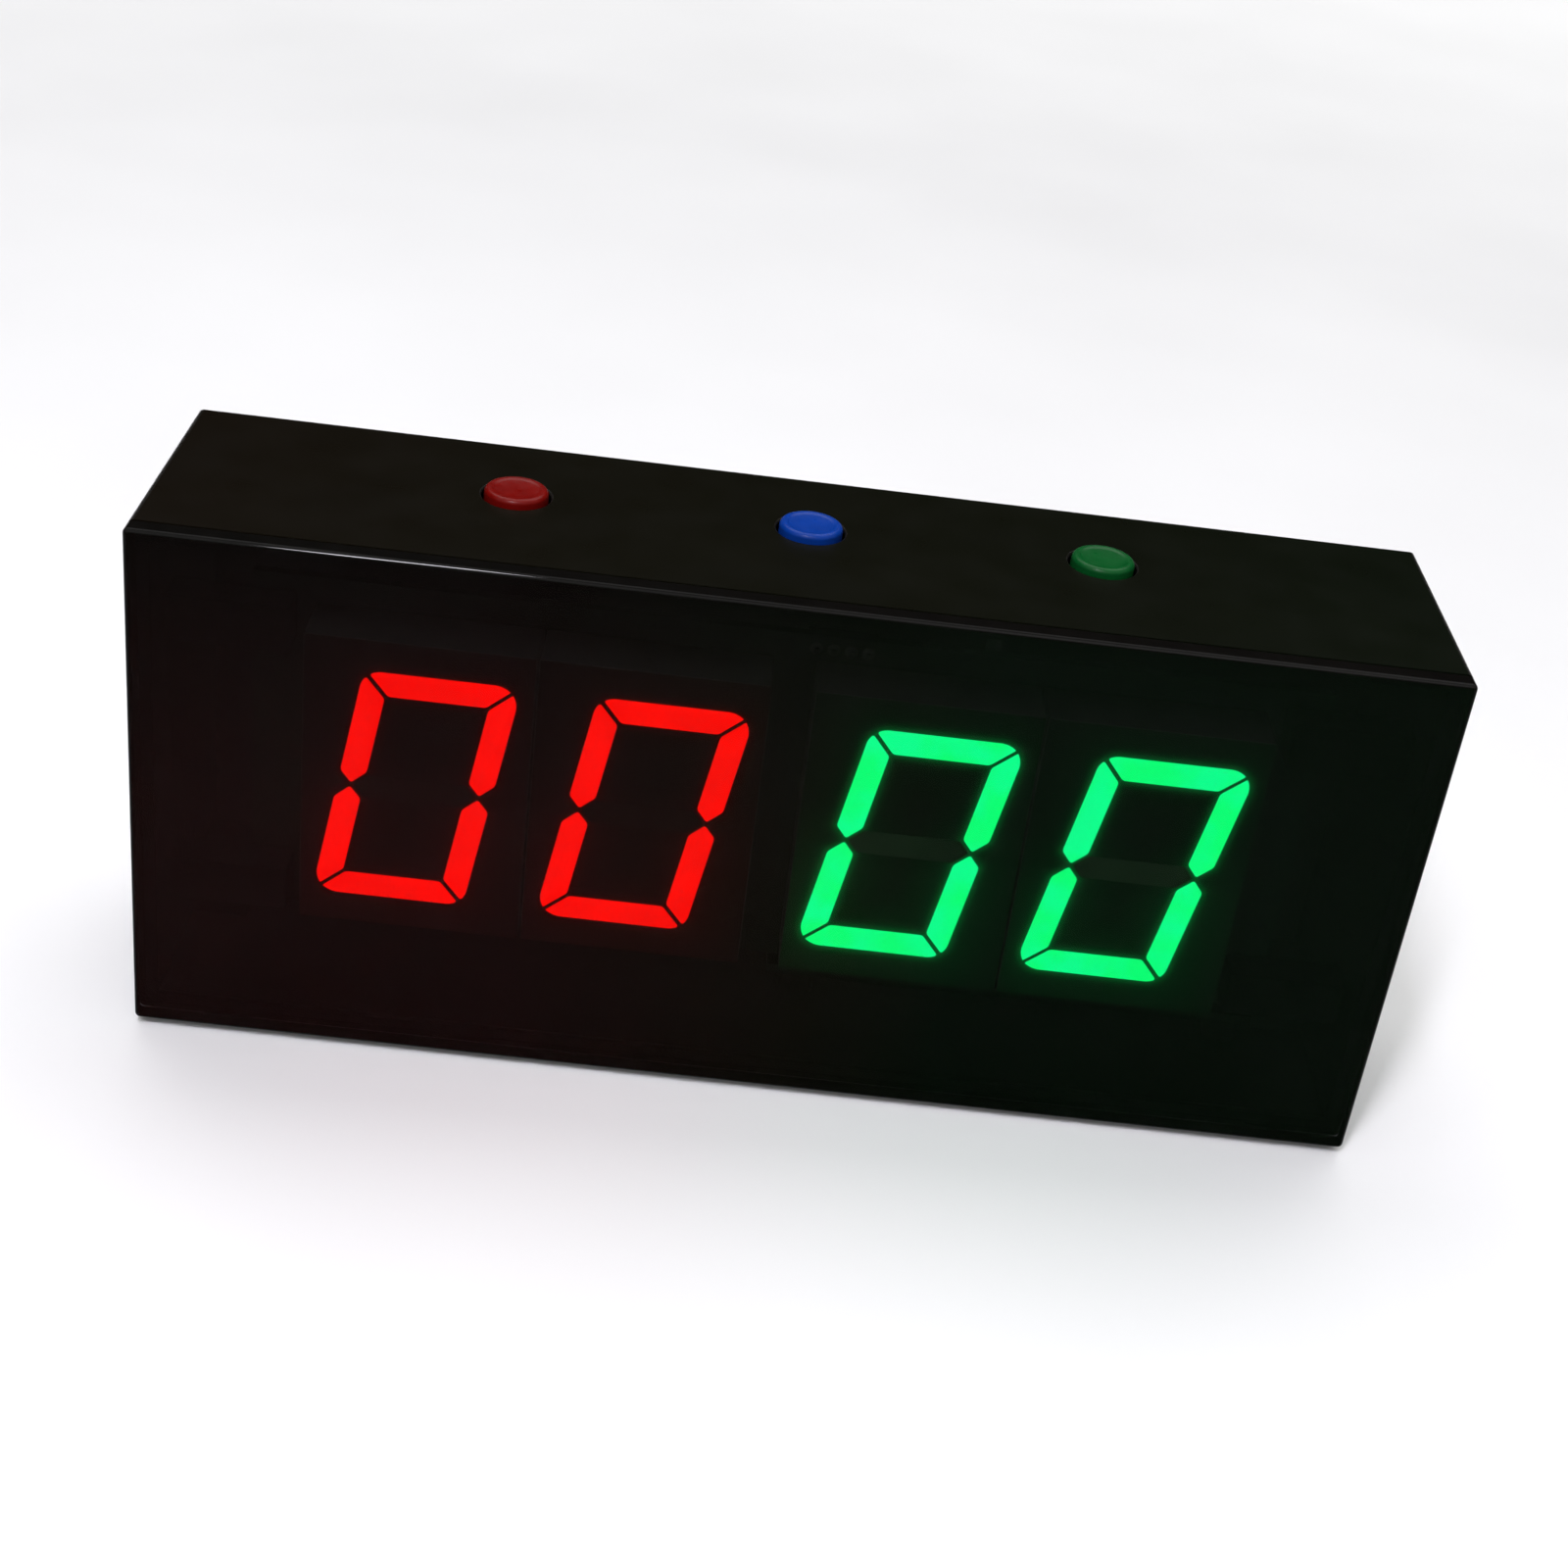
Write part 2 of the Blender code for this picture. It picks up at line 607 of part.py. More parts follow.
def cover_screws():
    head, shank = COVER_SCREW["head"], COVER_SCREW["shank"]
    face = -0.1 * MM
    tip = -COVER_SCREW_LENGTH
    profile = ((0, tip), (SCREW_TIP, tip), (shank, tip + shank))
    profile += ((shank, -COVER_SCREW["rise"] + 2 * face), (head + face, face), (0, face))
    number = 0
    for z in COVER_SCREW_Z:
        for side in (-1, 1):
            number += 1
            place = (side * COVER_SCREW_X, COVER_OUTER_Y, z)
            screw = add_object(
                f"rear_cover_screw_{number}", along_y(turned(profile)), "steel", place, True
            )
            cut_cross(screw, face)


def cut_cross(screw, face):
    """Cross recess in a screw's head, for a screw along Y."""
    low, high = face - CROSS_DEPTH, face + CROSS_DEPTH
    across = box((-CROSS_REACH, low, -CROSS_HALF), (CROSS_REACH, high, CROSS_HALF))
    cut(screw, across, "slot_across")
    up = box((-CROSS_HALF, low, -CROSS_REACH), (CROSS_HALF, high, CROSS_REACH))
    cut(screw, up, "slot_up")


def small_screw(length):
    """Pan-head screw along Z, head upwards, with the head's underside at z = 0."""
    head, rise, shank = SMALL_SCREW["head"], SMALL_SCREW["rise"], SMALL_SCREW["shank"]
    profile = ((0, -length), (SCREW_TIP, -length), (shank, shank - length), (shank, 0), (head, 0))
    profile += ((head, 0.6 * rise), (0.7 * head, rise), (0, rise))
    return turned(profile, SMALL_STEPS)


# ---------------------------------------------------------------- digits

def clip(points, through, normal):
    """The part of a convex outline on the inner side of a line, whose outward normal is given."""
    def outside(point):
        return (point[0] - through[0]) * normal[0] + (point[1] - through[1]) * normal[1]
    kept = []
    for index, here in enumerate(points):
        after = points[(index + 1) % len(points)]
        a, b = outside(here), outside(after)
        if a <= 0:
            kept.append(here)
        if (a < 0 < b) or (b < 0 < a):
            share = a / (a - b)
            kept.append(tuple(p + (q - p) * share for p, q in zip(here, after)))
    return kept


def segment_outline(side, level):
    """One lit bar before the slant. side is -1, 0 or 1 for left, middle, right bars, and level
    is -1, 0 or 1 for lower, middle, upper. Middle-side bars lie flat, the others stand."""
    half_w, half_h, stroke = DIGIT_WIDTH / 2, DIGIT_HEIGHT / 2, DIGIT_STROKE
    gap = SEGMENT_GAP / 2
    slope = Vector((POINT_HEIGHT, stroke / 2)).normalized()
    diagonal = Vector((1, 1)).normalized()
    if side == 0 and level == 0:
        points = [(-half_w, -stroke / 2), (half_w, -stroke / 2)]
        points += [(half_w, stroke / 2), (-half_w, stroke / 2)]
        for sx in (-1, 1):
            for sz in (-1, 1):
                normal = Vector((sx * slope.x, sz * slope.y))
                tip = Vector((sx * (half_w - stroke / 2), 0)) - normal * gap
                points = clip(points, tip, normal)
        return points
    if side == 0:
        points = [(-half_w, half_h - stroke), (half_w, half_h - stroke)]
        points += [(half_w, half_h), (-half_w, half_h)]
        for sx in (-1, 1):
            normal = Vector((sx * diagonal.x, -diagonal.y))
            points = clip(points, Vector((sx * half_w, half_h)) - normal * gap, normal)
        points = cut_corner(points, (-half_w, half_h), corner_radius(-1, level))
        points = cut_corner(points, (half_w, half_h), corner_radius(1, level))
        return points if level > 0 else flip(points)
    points = [(side * half_w, 0), (side * half_w, half_h)]
    points += [(side * (half_w - stroke), half_h), (side * (half_w - stroke), 0)]
    if side > 0:
        points.reverse()
    normal = Vector((-side * diagonal.x, diagonal.y))
    points = clip(points, Vector((side * half_w, half_h)) - normal * gap, normal)
    for sx in (-1, 1):
        normal = Vector((sx * slope.x, -slope.y))
        tip = Vector((side * (half_w - stroke / 2), gap))
        points = clip(points, tip, normal)
    points = cut_corner(points, (side * half_w, half_h), corner_radius(side, level))
    return points if level > 0 else flip(points)


def corner_radius(side, level):
    """The slanted digit has wide corners where its outline is sharp, and tight ones elsewhere."""
    return WIDE_CORNER if side * level > 0 else TIGHT_CORNER


def cut_corner(points, corner, radius):
    """Rounds an outer corner with three short flats that touch its arc."""
    sx = math.copysign(1, corner[0])
    centre = Vector(corner) - Vector((sx, 1)) * radius
    for degrees in (22.5, 45.0, 67.5):
        angle = math.radians(degrees)
        normal = Vector((sx * math.cos(angle), math.sin(angle)))
        points = clip(points, centre + normal * radius, normal)
    return points


def flip(points):
    return [(x, -z) for x, z in reversed(points)]


def shrink(points, distance):
    """A convex outline with every side moved inwards."""
    middle = sum((Vector(p) for p in points), Vector((0, 0))) / len(points)
    result = points
    for index, here in enumerate(points):
        after = Vector(points[(index + 1) % len(points)])
        run = after - Vector(here)
        if run.length < 1e-7:
            continue
        normal = Vector((run.y, -run.x)).normalized()
        if (middle - Vector(here)).dot(normal) > 0:
            normal = -normal
        result = clip(result, Vector(here) - normal * distance, normal)
    return result


def slanted(points):
    return [(x + z * DIGIT_SLANT, z) for x, z in points]


def all_segments(clearance):
    """Outlines of the seven bars, each drawn in by a clearance."""
    places = ((0, 1), (1, 1), (1, -1), (0, -1), (-1, -1), (-1, 1), (0, 0))
    return [slanted(shrink(segment_outline(*place), clearance)) for place in places]


def digit_modules():
    for number, x in enumerate(DIGIT_X, 1):
        digit_housing(number, x)
        digit_segments(number, x)


def digit_housing(number, x):
    half_w, half_h = MODULE_WIDTH / 2, MODULE_HEIGHT / 2
    place = (x, MODULE_FACE_Y, DIGIT_Z)
    bm = box((-half_w, 0, -half_h), (half_w, MODULE_DEPTH, half_h))
    housing = add_object(f"digit_housing_{number}", bm, "module_grey", place)
    low_y = MODULE_DEPTH - POTTING_DEPTH
    inner_w, inner_h = half_w - MODULE_WALL, half_h - MODULE_WALL
    well = box((-inner_w, low_y, -inner_h), (inner_w, MODULE_DEPTH + MM, inner_h))
    cut(housing, well, "potting_well")
    windows = bmesh.new()
    for outline in all_segments(0):
        prism(outline, -MM, low_y + MM, windows)
    cut(housing, windows, "windows")


def digit_segments(number, x):
    colour = "segment_red" if number <= 2 else "segment_green"
    place = (x, MODULE_FACE_Y, DIGIT_Z)
    inner_w = MODULE_WIDTH / 2 - MODULE_WALL - GAP
    inner_h = MODULE_HEIGHT / 2 - MODULE_WALL - GAP
    slab_y = MODULE_DEPTH - POTTING_DEPTH + GAP
    slab = box((-inner_w, slab_y, -inner_h), (inner_w, MODULE_DEPTH, inner_h))
    segments = add_object(f"digit_segments_{number}", slab, colour, place)
    bars = bmesh.new()
    for outline in all_segments(GAP):
        prism(outline, 0.05 * MM, slab_y + MM, bars)
    join(segments, bars, "bars")


# ---------------------------------------------------------------- display board

def display_board():
    half_w, half_h = DISPLAY_BOARD_SIZE[0] / 2, DISPLAY_BOARD_SIZE[1] / 2
    bm = box(
        (-half_w, DISPLAY_BOARD_Y, DIGIT_Z - half_h),
        (half_w, DISPLAY_BACK_Y, DIGIT_Z + half_h),
    )
    board = add_object("display_board", bm, "board_green")
    holes = bmesh.new()
    low, high = DISPLAY_BOARD_Y - MM, DISPLAY_BACK_Y + MM
    for side in (-1, 1):
        for z in DISPLAY_SCREW_Z:
            hole = along_y(rod(SMALL_SCREW["hole"], low, high))
            add_shape(holes, hole, (side * DISPLAY_SCREW_X, 0, z))
    for x in pin_places():
        add_shape(holes, along_y(rod(PIN_HOLE, low, high)), (x, 0, HEADER_Z))
    cut(board, holes, "holes")
    number = 0
    for z in DISPLAY_SCREW_Z:
        for side in (-1, 1):
            number += 1
            place = (side * DISPLAY_SCREW_X, DISPLAY_BACK_Y + GAP, z)
            screw = along_y(small_screw(DISPLAY_SCREW_LENGTH))
            add_object(f"display_board_screw_{number}", screw, "steel", place, True)


def pin_places():
    middle = (HEADER_PINS - 1) / 2
    return [HEADER_X + (pin - middle) * HEADER_PITCH for pin in range(HEADER_PINS)]


def display_header():
    """Right-angle pin header: a block on the board's back, with pins through it that turn down."""
    half = HEADER_PINS * HEADER_PITCH / 2
    low_y = DISPLAY_BACK_Y + GAP
    bm = box(
        (HEADER_X - half, low_y, HEADER_Z - HEADER_BLOCK / 2),
        (HEADER_X + half, low_y + HEADER_BLOCK, HEADER_Z + HEADER_BLOCK / 2),
    )
    header = add_object("display_header", bm, "chip_black")
    tip_y = DISPLAY_BOARD_Y - PIN_TIP
    near_y, far_y = header_pin_y() - PIN_HALF, header_pin_y() + PIN_HALF
    end_z = HEADER_Z - PIN_DROP
    outline = (
        (tip_y, HEADER_Z - PIN_HALF), (near_y, HEADER_Z - PIN_HALF), (near_y, end_z),
        (far_y, end_z), (far_y, HEADER_Z + PIN_HALF), (tip_y, HEADER_Z + PIN_HALF),
    )
    pins = bmesh.new()
    for x in pin_places():
        near = [pins.verts.new((x - PIN_HALF, y, z)) for y, z in outline]
        far = [pins.verts.new((x + PIN_HALF, y, z)) for y, z in outline]
        pins.faces.new(near)
        pins.faces.new(list(reversed(far)))
        for index in range(len(outline)):
            after = (index + 1) % len(outline)
            pins.faces.new((near[index], far[index], far[after], near[after]))
    join(header, pins, "pins")


def header_pin_y():
    return DISPLAY_BACK_Y + GAP + HEADER_BLOCK + HEADER_REACH


def display_plug():
    """Socket housing pushed up over the header's pins."""
    half_w, half_d = HEADER_PINS * HEADER_PITCH / 2, HEADER_BLOCK / 2
    middle_y = header_pin_y()
    bm = box(
        (HEADER_X - half_w, middle_y - half_d, DISPLAY_PLUG_TOP_Z - DISPLAY_PLUG_LENGTH),
        (HEADER_X + half_w, middle_y + half_d, DISPLAY_PLUG_TOP_Z),
    )
    plug = add_object("display_plug", bm, "chip_black")
    holes = bmesh.new()
    for x in pin_places():
        low = (x - PIN_HOLE, middle_y - PIN_HOLE, HEADER_Z - PIN_DROP - 2 * GAP)
        box(low, (x + PIN_HOLE, middle_y + PIN_HOLE, DISPLAY_PLUG_TOP_Z + MM), holes)
    cut(plug, holes, "pin_holes")


def display_driver_chip():
    low_y = DISPLAY_BACK_Y + GAP
    bm = box(
        (DRIVER_CHIP_X[0], low_y, DIGIT_Z - DRIVER_CHIP_HALF),
        (DRIVER_CHIP_X[1], low_y + DRIVER_CHIP_THICKNESS, DIGIT_Z + DRIVER_CHIP_HALF),
    )
    round_edges(bm, lambda d, m: m.y > low_y + MM, CHIP_EDGE, 1)
    add_object("display_driver_chip", bm, "chip_black")


# ---------------------------------------------------------------- buttons

def switch_board():
    half_w, half_d = SWITCH_BOARD_SIZE[0] / 2, SWITCH_BOARD_SIZE[1] / 2
    bm = box(
        (-half_w, BUTTON_Y - half_d, SWITCH_BOARD_Z),
        (half_w, BUTTON_Y + half_d, SWITCH_BOARD_TOP_Z),
    )
    board = add_object("switch_board", bm, "board_green")
    holes = bmesh.new()
    for side in (-1, 1):
        rod(SMALL_SCREW["hole"], SWITCH_BOARD_Z - MM, SWITCH_BOARD_TOP_Z + MM, SMALL_STEPS, holes,
            (side * SWITCH_SCREW_X, BUTTON_Y, 0))
    cut(board, holes, "holes")
    for number, side in enumerate((-1, 1), 1):
        place = (side * SWITCH_SCREW_X, BUTTON_Y, SWITCH_BOARD_Z - GAP)
        shape = small_screw(SWITCH_SCREW_LENGTH)
        screw = add_object(f"switch_board_screw_{number}", shape, "steel", place, True)
        screw.rotation_euler = (math.pi, 0, 0)


def buttons():
    for colour, x in BUTTON_X.items():
        switch_body(colour, x)
        cap = button_cap(colour, x)
        switch_plunger(colour, cap)


def switch_body(colour, x):
    half = SWITCH_SIDE / 2
    low_z = SWITCH_BOARD_TOP_Z + GAP
    bm = box((-half, -half, 0), (half, half, SWITCH_HEIGHT))
    round_edges(bm, along(2), SWITCH_CORNER)
    body = add_object(f"switch_body_{colour}", bm, "switch_black", (x, BUTTON_Y, low_z))
    well = rod(SWITCH_WELL_RADIUS, WELL_FLOOR, SWITCH_HEIGHT + MM)
    cut(body, well, "well")


def button_cap(colour, x):
    """Round cap with a flange under the case's top wall and a square socket from below.
    Its origin is on the axis that it slides along, at its top face."""
    flange_top = CAP_FLANGE_HEIGHT - CAP_HEIGHT
    profile = ((0, -CAP_HEIGHT), (CAP_FLANGE_RADIUS, -CAP_HEIGHT), (CAP_FLANGE_RADIUS, flange_top))
    profile += ((BUTTON_RADIUS, flange_top), (BUTTON_RADIUS, -CAP_RIM))
    profile += ((BUTTON_RADIUS - 0.3 * CAP_RIM, -0.3 * CAP_RIM), (BUTTON_RADIUS - CAP_RIM, 0), (0, 0))
    place = (x, BUTTON_Y, BUTTON_TOP_Z)
    cap = add_object(f"button_cap_{colour}", turned(profile), f"button_{colour}", place, True)
    half = PLUNGER_SIDE / 2 + GAP
    socket = box((-half, -half, -CAP_HEIGHT - MM), (half, half, -CAP_ROOF))
    cut(cap, socket, "socket")
    return cap


def switch_plunger(colour, cap):
    """The switch's own plunger, carried by the cap: a round collar with a square stem."""
    collar_top = -CAP_HEIGHT - GAP
    collar_low = collar_top - PLUNGER_COLLAR
    bm = rod(SWITCH_WELL_RADIUS - GAP, collar_low, collar_top)
    plunger = add_object(f"switch_plunger_{colour}", bm, "plunger_white")
    half = PLUNGER_SIDE / 2
    stem = box((-half, -half, collar_top - MM), (half, half, -CAP_ROOF - GAP))
    join(plunger, stem, "stem")
    plunger.parent = cap


# ---------------------------------------------------------------- control board

def control_board():
    bm = box(
        (CONTROL_BOARD_X[0], CONTROL_BOARD_Y[0], CONTROL_BOARD_Z),
        (CONTROL_BOARD_X[1], CONTROL_BOARD_Y[1], CONTROL_TOP_Z),
    )
    board = add_object("control_board", bm, "board_green")
    holes = bmesh.new()
    for x, y in CONTROL_SCREWS + CONTROL_PEGS:
        rod(SMALL_SCREW["hole"], CONTROL_BOARD_Z - MM, CONTROL_TOP_Z + MM, SMALL_STEPS, holes,
            (x, y, 0))
    cut(board, holes, "holes")
    for number, (x, y) in enumerate(CONTROL_SCREWS, 1):
        place = (x, y, CONTROL_TOP_Z + GAP)
        shape = small_screw(CONTROL_SCREW_LENGTH)
        add_object(f"control_board_screw_{number}", shape, "steel", place, True)


def controller_chip():
    x, y = CONTROLLER_CENTRE
    half = CONTROLLER_HALF
    bm = box((x - half, y - half, PART_Z), (x + half, y + half, PART_Z + CONTROLLER_THICKNESS))
    round_edges(bm, lambda d, m: m.z > PART_Z + MM, CHIP_EDGE, 1)
    add_object("controller_chip", bm, "chip_black")


def buzzer():
    """Round sounder with a hole in its top."""
    top, edge, hole = BUZZER_HEIGHT, BUZZER_EDGE, BUZZER_HOLE_RADIUS
    profile = ((0, 0), (BUZZER_RADIUS, 0), (BUZZER_RADIUS, top - edge), (BUZZER_RADIUS - edge, top))
    profile += ((hole, top), (hole, top - BUZZER_HOLE_DEPTH), (0, top - BUZZER_HOLE_DEPTH))
    add_object("buzzer", turned(profile), "chip_black", (*BUZZER_CENTRE, PART_Z), True)


def charge_inlet():
    """Oval metal-shelled inlet with a tongue inside, its mouth just inside the rear cover's face."""
    width, length, height = INLET_SIZE
    mouth_y = COVER_OUTER_Y - GAP
    middle_z = PART_Z + height / 2
    outline = moved(rounded_rectangle(width, height, INLET_CORNER), INLET_X, middle_z)
    body = prism(outline, mouth_y - length, mouth_y)
    inlet = add_object("charge_inlet", body, "steel", smooth=True)
    cavity = rounded_rectangle(
        width - 2 * INLET_WALL, height - 2 * INLET_WALL, INLET_CORNER - INLET_WALL
    )
    hollow = prism(moved(cavity, INLET_X, middle_z), mouth_y - INLET_DEPTH, mouth_y + MM)
    cut(inlet, hollow, "hollow")
    half_w, half_h = TONGUE_SIZE[0] / 2, TONGUE_SIZE[2] / 2
    tongue_y = mouth_y - TONGUE_SETBACK
    tongue = box(
        (INLET_X - half_w, tongue_y - TONGUE_SIZE[1], middle_z - half_h),
        (INLET_X + half_w, tongue_y, middle_z + half_h),
    )
    join(inlet, tongue, "tongue")


def power_switch():
    half_w = POWER_SWITCH_SIZE[0] / 2
    bm = box(
        (POWER_SWITCH_X - half_w, POWER_SWITCH_Y[0], PART_Z),
        (POWER_SWITCH_X + half_w, POWER_SWITCH_Y[1], PART_Z + POWER_SWITCH_SIZE[2]),
    )
    body = add_object("power_switch_body", bm, "steel")
    reach = (SLIDER_SIZE[0] + SLIDER_TRAVEL) / 2 + GAP
    rise = SLIDER_SIZE[1] / 2 + GAP
    slot = box(
        (POWER_SWITCH_X - reach, SLIDER_Y[0] - GAP, slider_z() - rise),
        (POWER_SWITCH_X + reach, POWER_SWITCH_Y[1] + MM, slider_z() + rise),
    )
    cut(body, slot, "slot")
    half_x, half_z = SLIDER_SIZE[0] / 2, SLIDER_SIZE[1] / 2
    bm = box((-half_x, SLIDER_Y[0], -half_z), (half_x, SLIDER_Y[1], half_z))
    round_edges(bm, lambda d, m: m.y > SLIDER_Y[1] - GAP, SLIDER_EDGE)
    add_object("power_switch_slider", bm, "switch_black", (SLIDER_ON_X, 0, slider_z()), True)


def sockets_and_plugs():
    names = {"display": "display_lower_plug", "switch": "switch_plug", "battery": "battery_plug"}
    floor = PART_Z + SOCKET_FLOOR
    top = PART_Z + SOCKET_HEIGHT
    for name, (x, y, width) in SOCKETS.items():
        half_w, half_d = width / 2, SOCKET_DEPTH / 2
        bm = box((x - half_w, y - half_d, PART_Z), (x + half_w, y + half_d, top))
        socket = add_object(f"{name}_socket", bm, "connector_white")
        hollow = box(
            (x - half_w + SOCKET_WALL, y - half_d + SOCKET_WALL, floor),
            (x + half_w - SOCKET_WALL, y + half_d - SOCKET_WALL, top + MM),
        )
        cut(socket, hollow, "hollow")
        draw_in = SOCKET_WALL + GAP
        bm = box(
            (x - half_w + draw_in, y - half_d + draw_in, floor + GAP),
            (x + half_w - draw_in, y + half_d - draw_in, top + PLUG_RISE),
        )
        add_object(names[name], bm, "connector_white")


def plug_top(name):
    x, y, _ = SOCKETS[name]
    return Vector((x, y, PART_Z + SOCKET_HEIGHT + PLUG_RISE + GAP))


# ---------------------------------------------------------------- battery and cables

def battery():
    half_w, thick, half_h = BATTERY_SIZE[0] / 2, BATTERY_SIZE[1], BATTERY_SIZE[2] / 2
    tape_high = COVER_INNER_Y - GAP
    tape_low = tape_high - TAPE_SIZE[1]
    cell_high = tape_low - GAP
    bm = box(
        (BATTERY_X - TAPE_SIZE[0] / 2, tape_low, BATTERY_Z - TAPE_SIZE[2] / 2),
        (BATTERY_X + TAPE_SIZE[0] / 2, tape_high, BATTERY_Z + TAPE_SIZE[2] / 2),
    )
    add_object("battery_tape", bm, "foam_tape")
    bm = box(
        (BATTERY_X - half_w, cell_high - thick, BATTERY_Z - half_h),
        (BATTERY_X + half_w, cell_high, BATTERY_Z + half_h),
    )
    round_edges(bm, along(2), BATTERY_CORNER, 3)
    add_object("battery_cell", bm, "battery_blue", smooth=True)


def cables():
    """Each cable's route, from where it is fixed to the top of its plug on the control board."""
    down, up = Vector((0, 0, -CABLE_LEAD)), Vector((0, 0, CABLE_LEAD))
    start = Vector((HEADER_X, header_pin_y(), DISPLAY_PLUG_TOP_Z - DISPLAY_PLUG_LENGTH - GAP))
    end = plug_top("display")
    add_cable("display_cable", (
        start, start + down, (8 * MM, 7 * MM, 38 * MM), (11.5 * MM, 10.5 * MM, 27 * MM),
        end + up, end,
    ), CABLE_RADIUS)
    start = Vector((SWITCH_CABLE_X, BUTTON_Y + CABLE_LEAD, SWITCH_BOARD_Z - GAP))
    end = plug_top("switch")
    add_cable("switch_cable", (
        start, start + down, (29 * MM, 12.5 * MM, 52 * MM), (26 * MM, 13 * MM, 34 * MM),
        end + up, end,
    ), CABLE_RADIUS)
    cell_y = COVER_INNER_Y - 2 * GAP - TAPE_SIZE[1] - BATTERY_SIZE[1] / 2
    start = Vector((BATTERY_X + BATTERY_SIZE[0] / 2 + GAP, cell_y, BATTERY_CABLE_Z))
    end = plug_top("battery")
    add_cable("battery_cable", (
        start, start + Vector((CABLE_LEAD, 0, 0)), (2 * MM, 14.5 * MM, 44 * MM),
        (17 * MM, 16 * MM, 32 * MM), (36 * MM, 15.5 * MM, 25.5 * MM),
        (51 * MM, 10 * MM, 25.5 * MM), end + Vector((-1.5 * MM, 1 * MM, 6 * MM)), end,
    ), BATTERY_CABLE_RADIUS)


def build():
    clear_scene()
    front_panel()
    panel_adhesive()
    case_shell()
    rear_cover()
    cover_screws()
    feet()
    digit_modules()
    display_board()
    display_header()
    display_plug()
    display_driver_chip()
    switch_board()
    buttons()
    control_board()
    controller_chip()
    buzzer()
    charge_inlet()
    power_switch()
    sockets_and_plugs()
    battery()
    cables()


build()
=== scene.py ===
"""Looks of the gym round timer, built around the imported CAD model.

Metres. +X is right seen from the front, the front faces -Y, +Z is up.
"""

import math

import bmesh
import bpy
import numpy as np
from mathutils import Matrix, Vector


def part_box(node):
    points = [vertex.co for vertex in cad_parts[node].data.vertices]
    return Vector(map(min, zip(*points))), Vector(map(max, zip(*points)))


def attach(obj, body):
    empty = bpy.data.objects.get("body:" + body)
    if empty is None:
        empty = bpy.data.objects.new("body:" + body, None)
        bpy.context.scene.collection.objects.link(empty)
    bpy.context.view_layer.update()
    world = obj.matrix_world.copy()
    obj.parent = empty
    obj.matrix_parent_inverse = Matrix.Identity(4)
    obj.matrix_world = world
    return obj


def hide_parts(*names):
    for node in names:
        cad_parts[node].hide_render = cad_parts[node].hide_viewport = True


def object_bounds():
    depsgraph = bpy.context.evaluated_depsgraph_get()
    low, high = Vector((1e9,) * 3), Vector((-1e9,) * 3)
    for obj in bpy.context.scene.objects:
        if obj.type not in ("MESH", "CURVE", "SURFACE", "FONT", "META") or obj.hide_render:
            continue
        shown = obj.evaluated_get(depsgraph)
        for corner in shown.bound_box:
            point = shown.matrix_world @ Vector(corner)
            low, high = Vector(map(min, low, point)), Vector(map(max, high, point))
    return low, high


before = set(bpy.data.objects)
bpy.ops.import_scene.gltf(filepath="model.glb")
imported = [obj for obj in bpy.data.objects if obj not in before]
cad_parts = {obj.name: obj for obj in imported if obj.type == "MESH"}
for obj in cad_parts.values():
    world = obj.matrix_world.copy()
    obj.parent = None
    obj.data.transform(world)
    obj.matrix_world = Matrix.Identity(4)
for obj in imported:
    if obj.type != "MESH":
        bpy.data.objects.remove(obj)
cad_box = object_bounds()

MM = 0.001
RED_DIGITS = (1, 2)
GREEN_DIGITS = (3, 4)
BUTTONS = ("red", "blue", "green")
CORNER_NUMBERS = range(1, 5)
SHARP = math.radians(35)
FINE_STEPS = 96


def node_box(node):
    """Low corner, high corner and middle of a CAD node."""
    low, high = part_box(node)
    return low, high, (low + high) / 2


# ---------------------------------------------------------------- material tools

SCUFF_SIZE = 1.2 * MM
SCUFF_BAND = (0.62, 0.8)
SCUFF_LIFT = 0.02
SCUFF_GAIN = 3.0


def link(tree, source, target):
    """Joins two sockets."""
    tree.links.new(source, target)


def new_material(name):
    """A new material with its node tree and its shader."""
    made = bpy.data.materials.new(name)
    made.use_nodes = True
    return made, made.node_tree, made.node_tree.nodes["Principled BSDF"]


def noise(tree, size, detail=2.0, distortion=0.0):
    """Noise with features of about this size, in the object's own space."""
    place = tree.nodes.new("ShaderNodeTexCoord")
    texture = tree.nodes.new("ShaderNodeTexNoise")
    texture.inputs["Scale"].default_value = 1.0 / size
    texture.inputs["Detail"].default_value = detail
    texture.inputs["Distortion"].default_value = distortion
    link(tree, place.outputs["Object"], texture.inputs["Vector"])
    return texture.outputs["Fac"]


def ranged(tree, value, low, high, from_low=0.3, from_high=0.7):
    """Maps a value's range to another."""
    node = tree.nodes.new("ShaderNodeMapRange")
    node.inputs["From Min"].default_value = from_low
    node.inputs["From Max"].default_value = from_high
    node.inputs["To Min"].default_value = low
    node.inputs["To Max"].default_value = high
    link(tree, value, node.inputs["Value"])
    return node.outputs["Result"]


def blended(tree, factor, first, second):
    """A colour that goes from first to second with factor. Each is a colour or a socket."""
    node = tree.nodes.new("ShaderNodeMix")
    node.data_type = "RGBA"
    link(tree, factor, node.inputs["Factor"])
    for value, name in ((first, "A"), (second, "B")):
        socket = [s for s in node.inputs if s.name == name and s.type == "RGBA"][0]
        if isinstance(value, bpy.types.NodeSocket):
            link(tree, value, socket)
        else:
            socket.default_value = (*value, 1.0)
    return [s for s in node.outputs if s.type == "RGBA"][0]


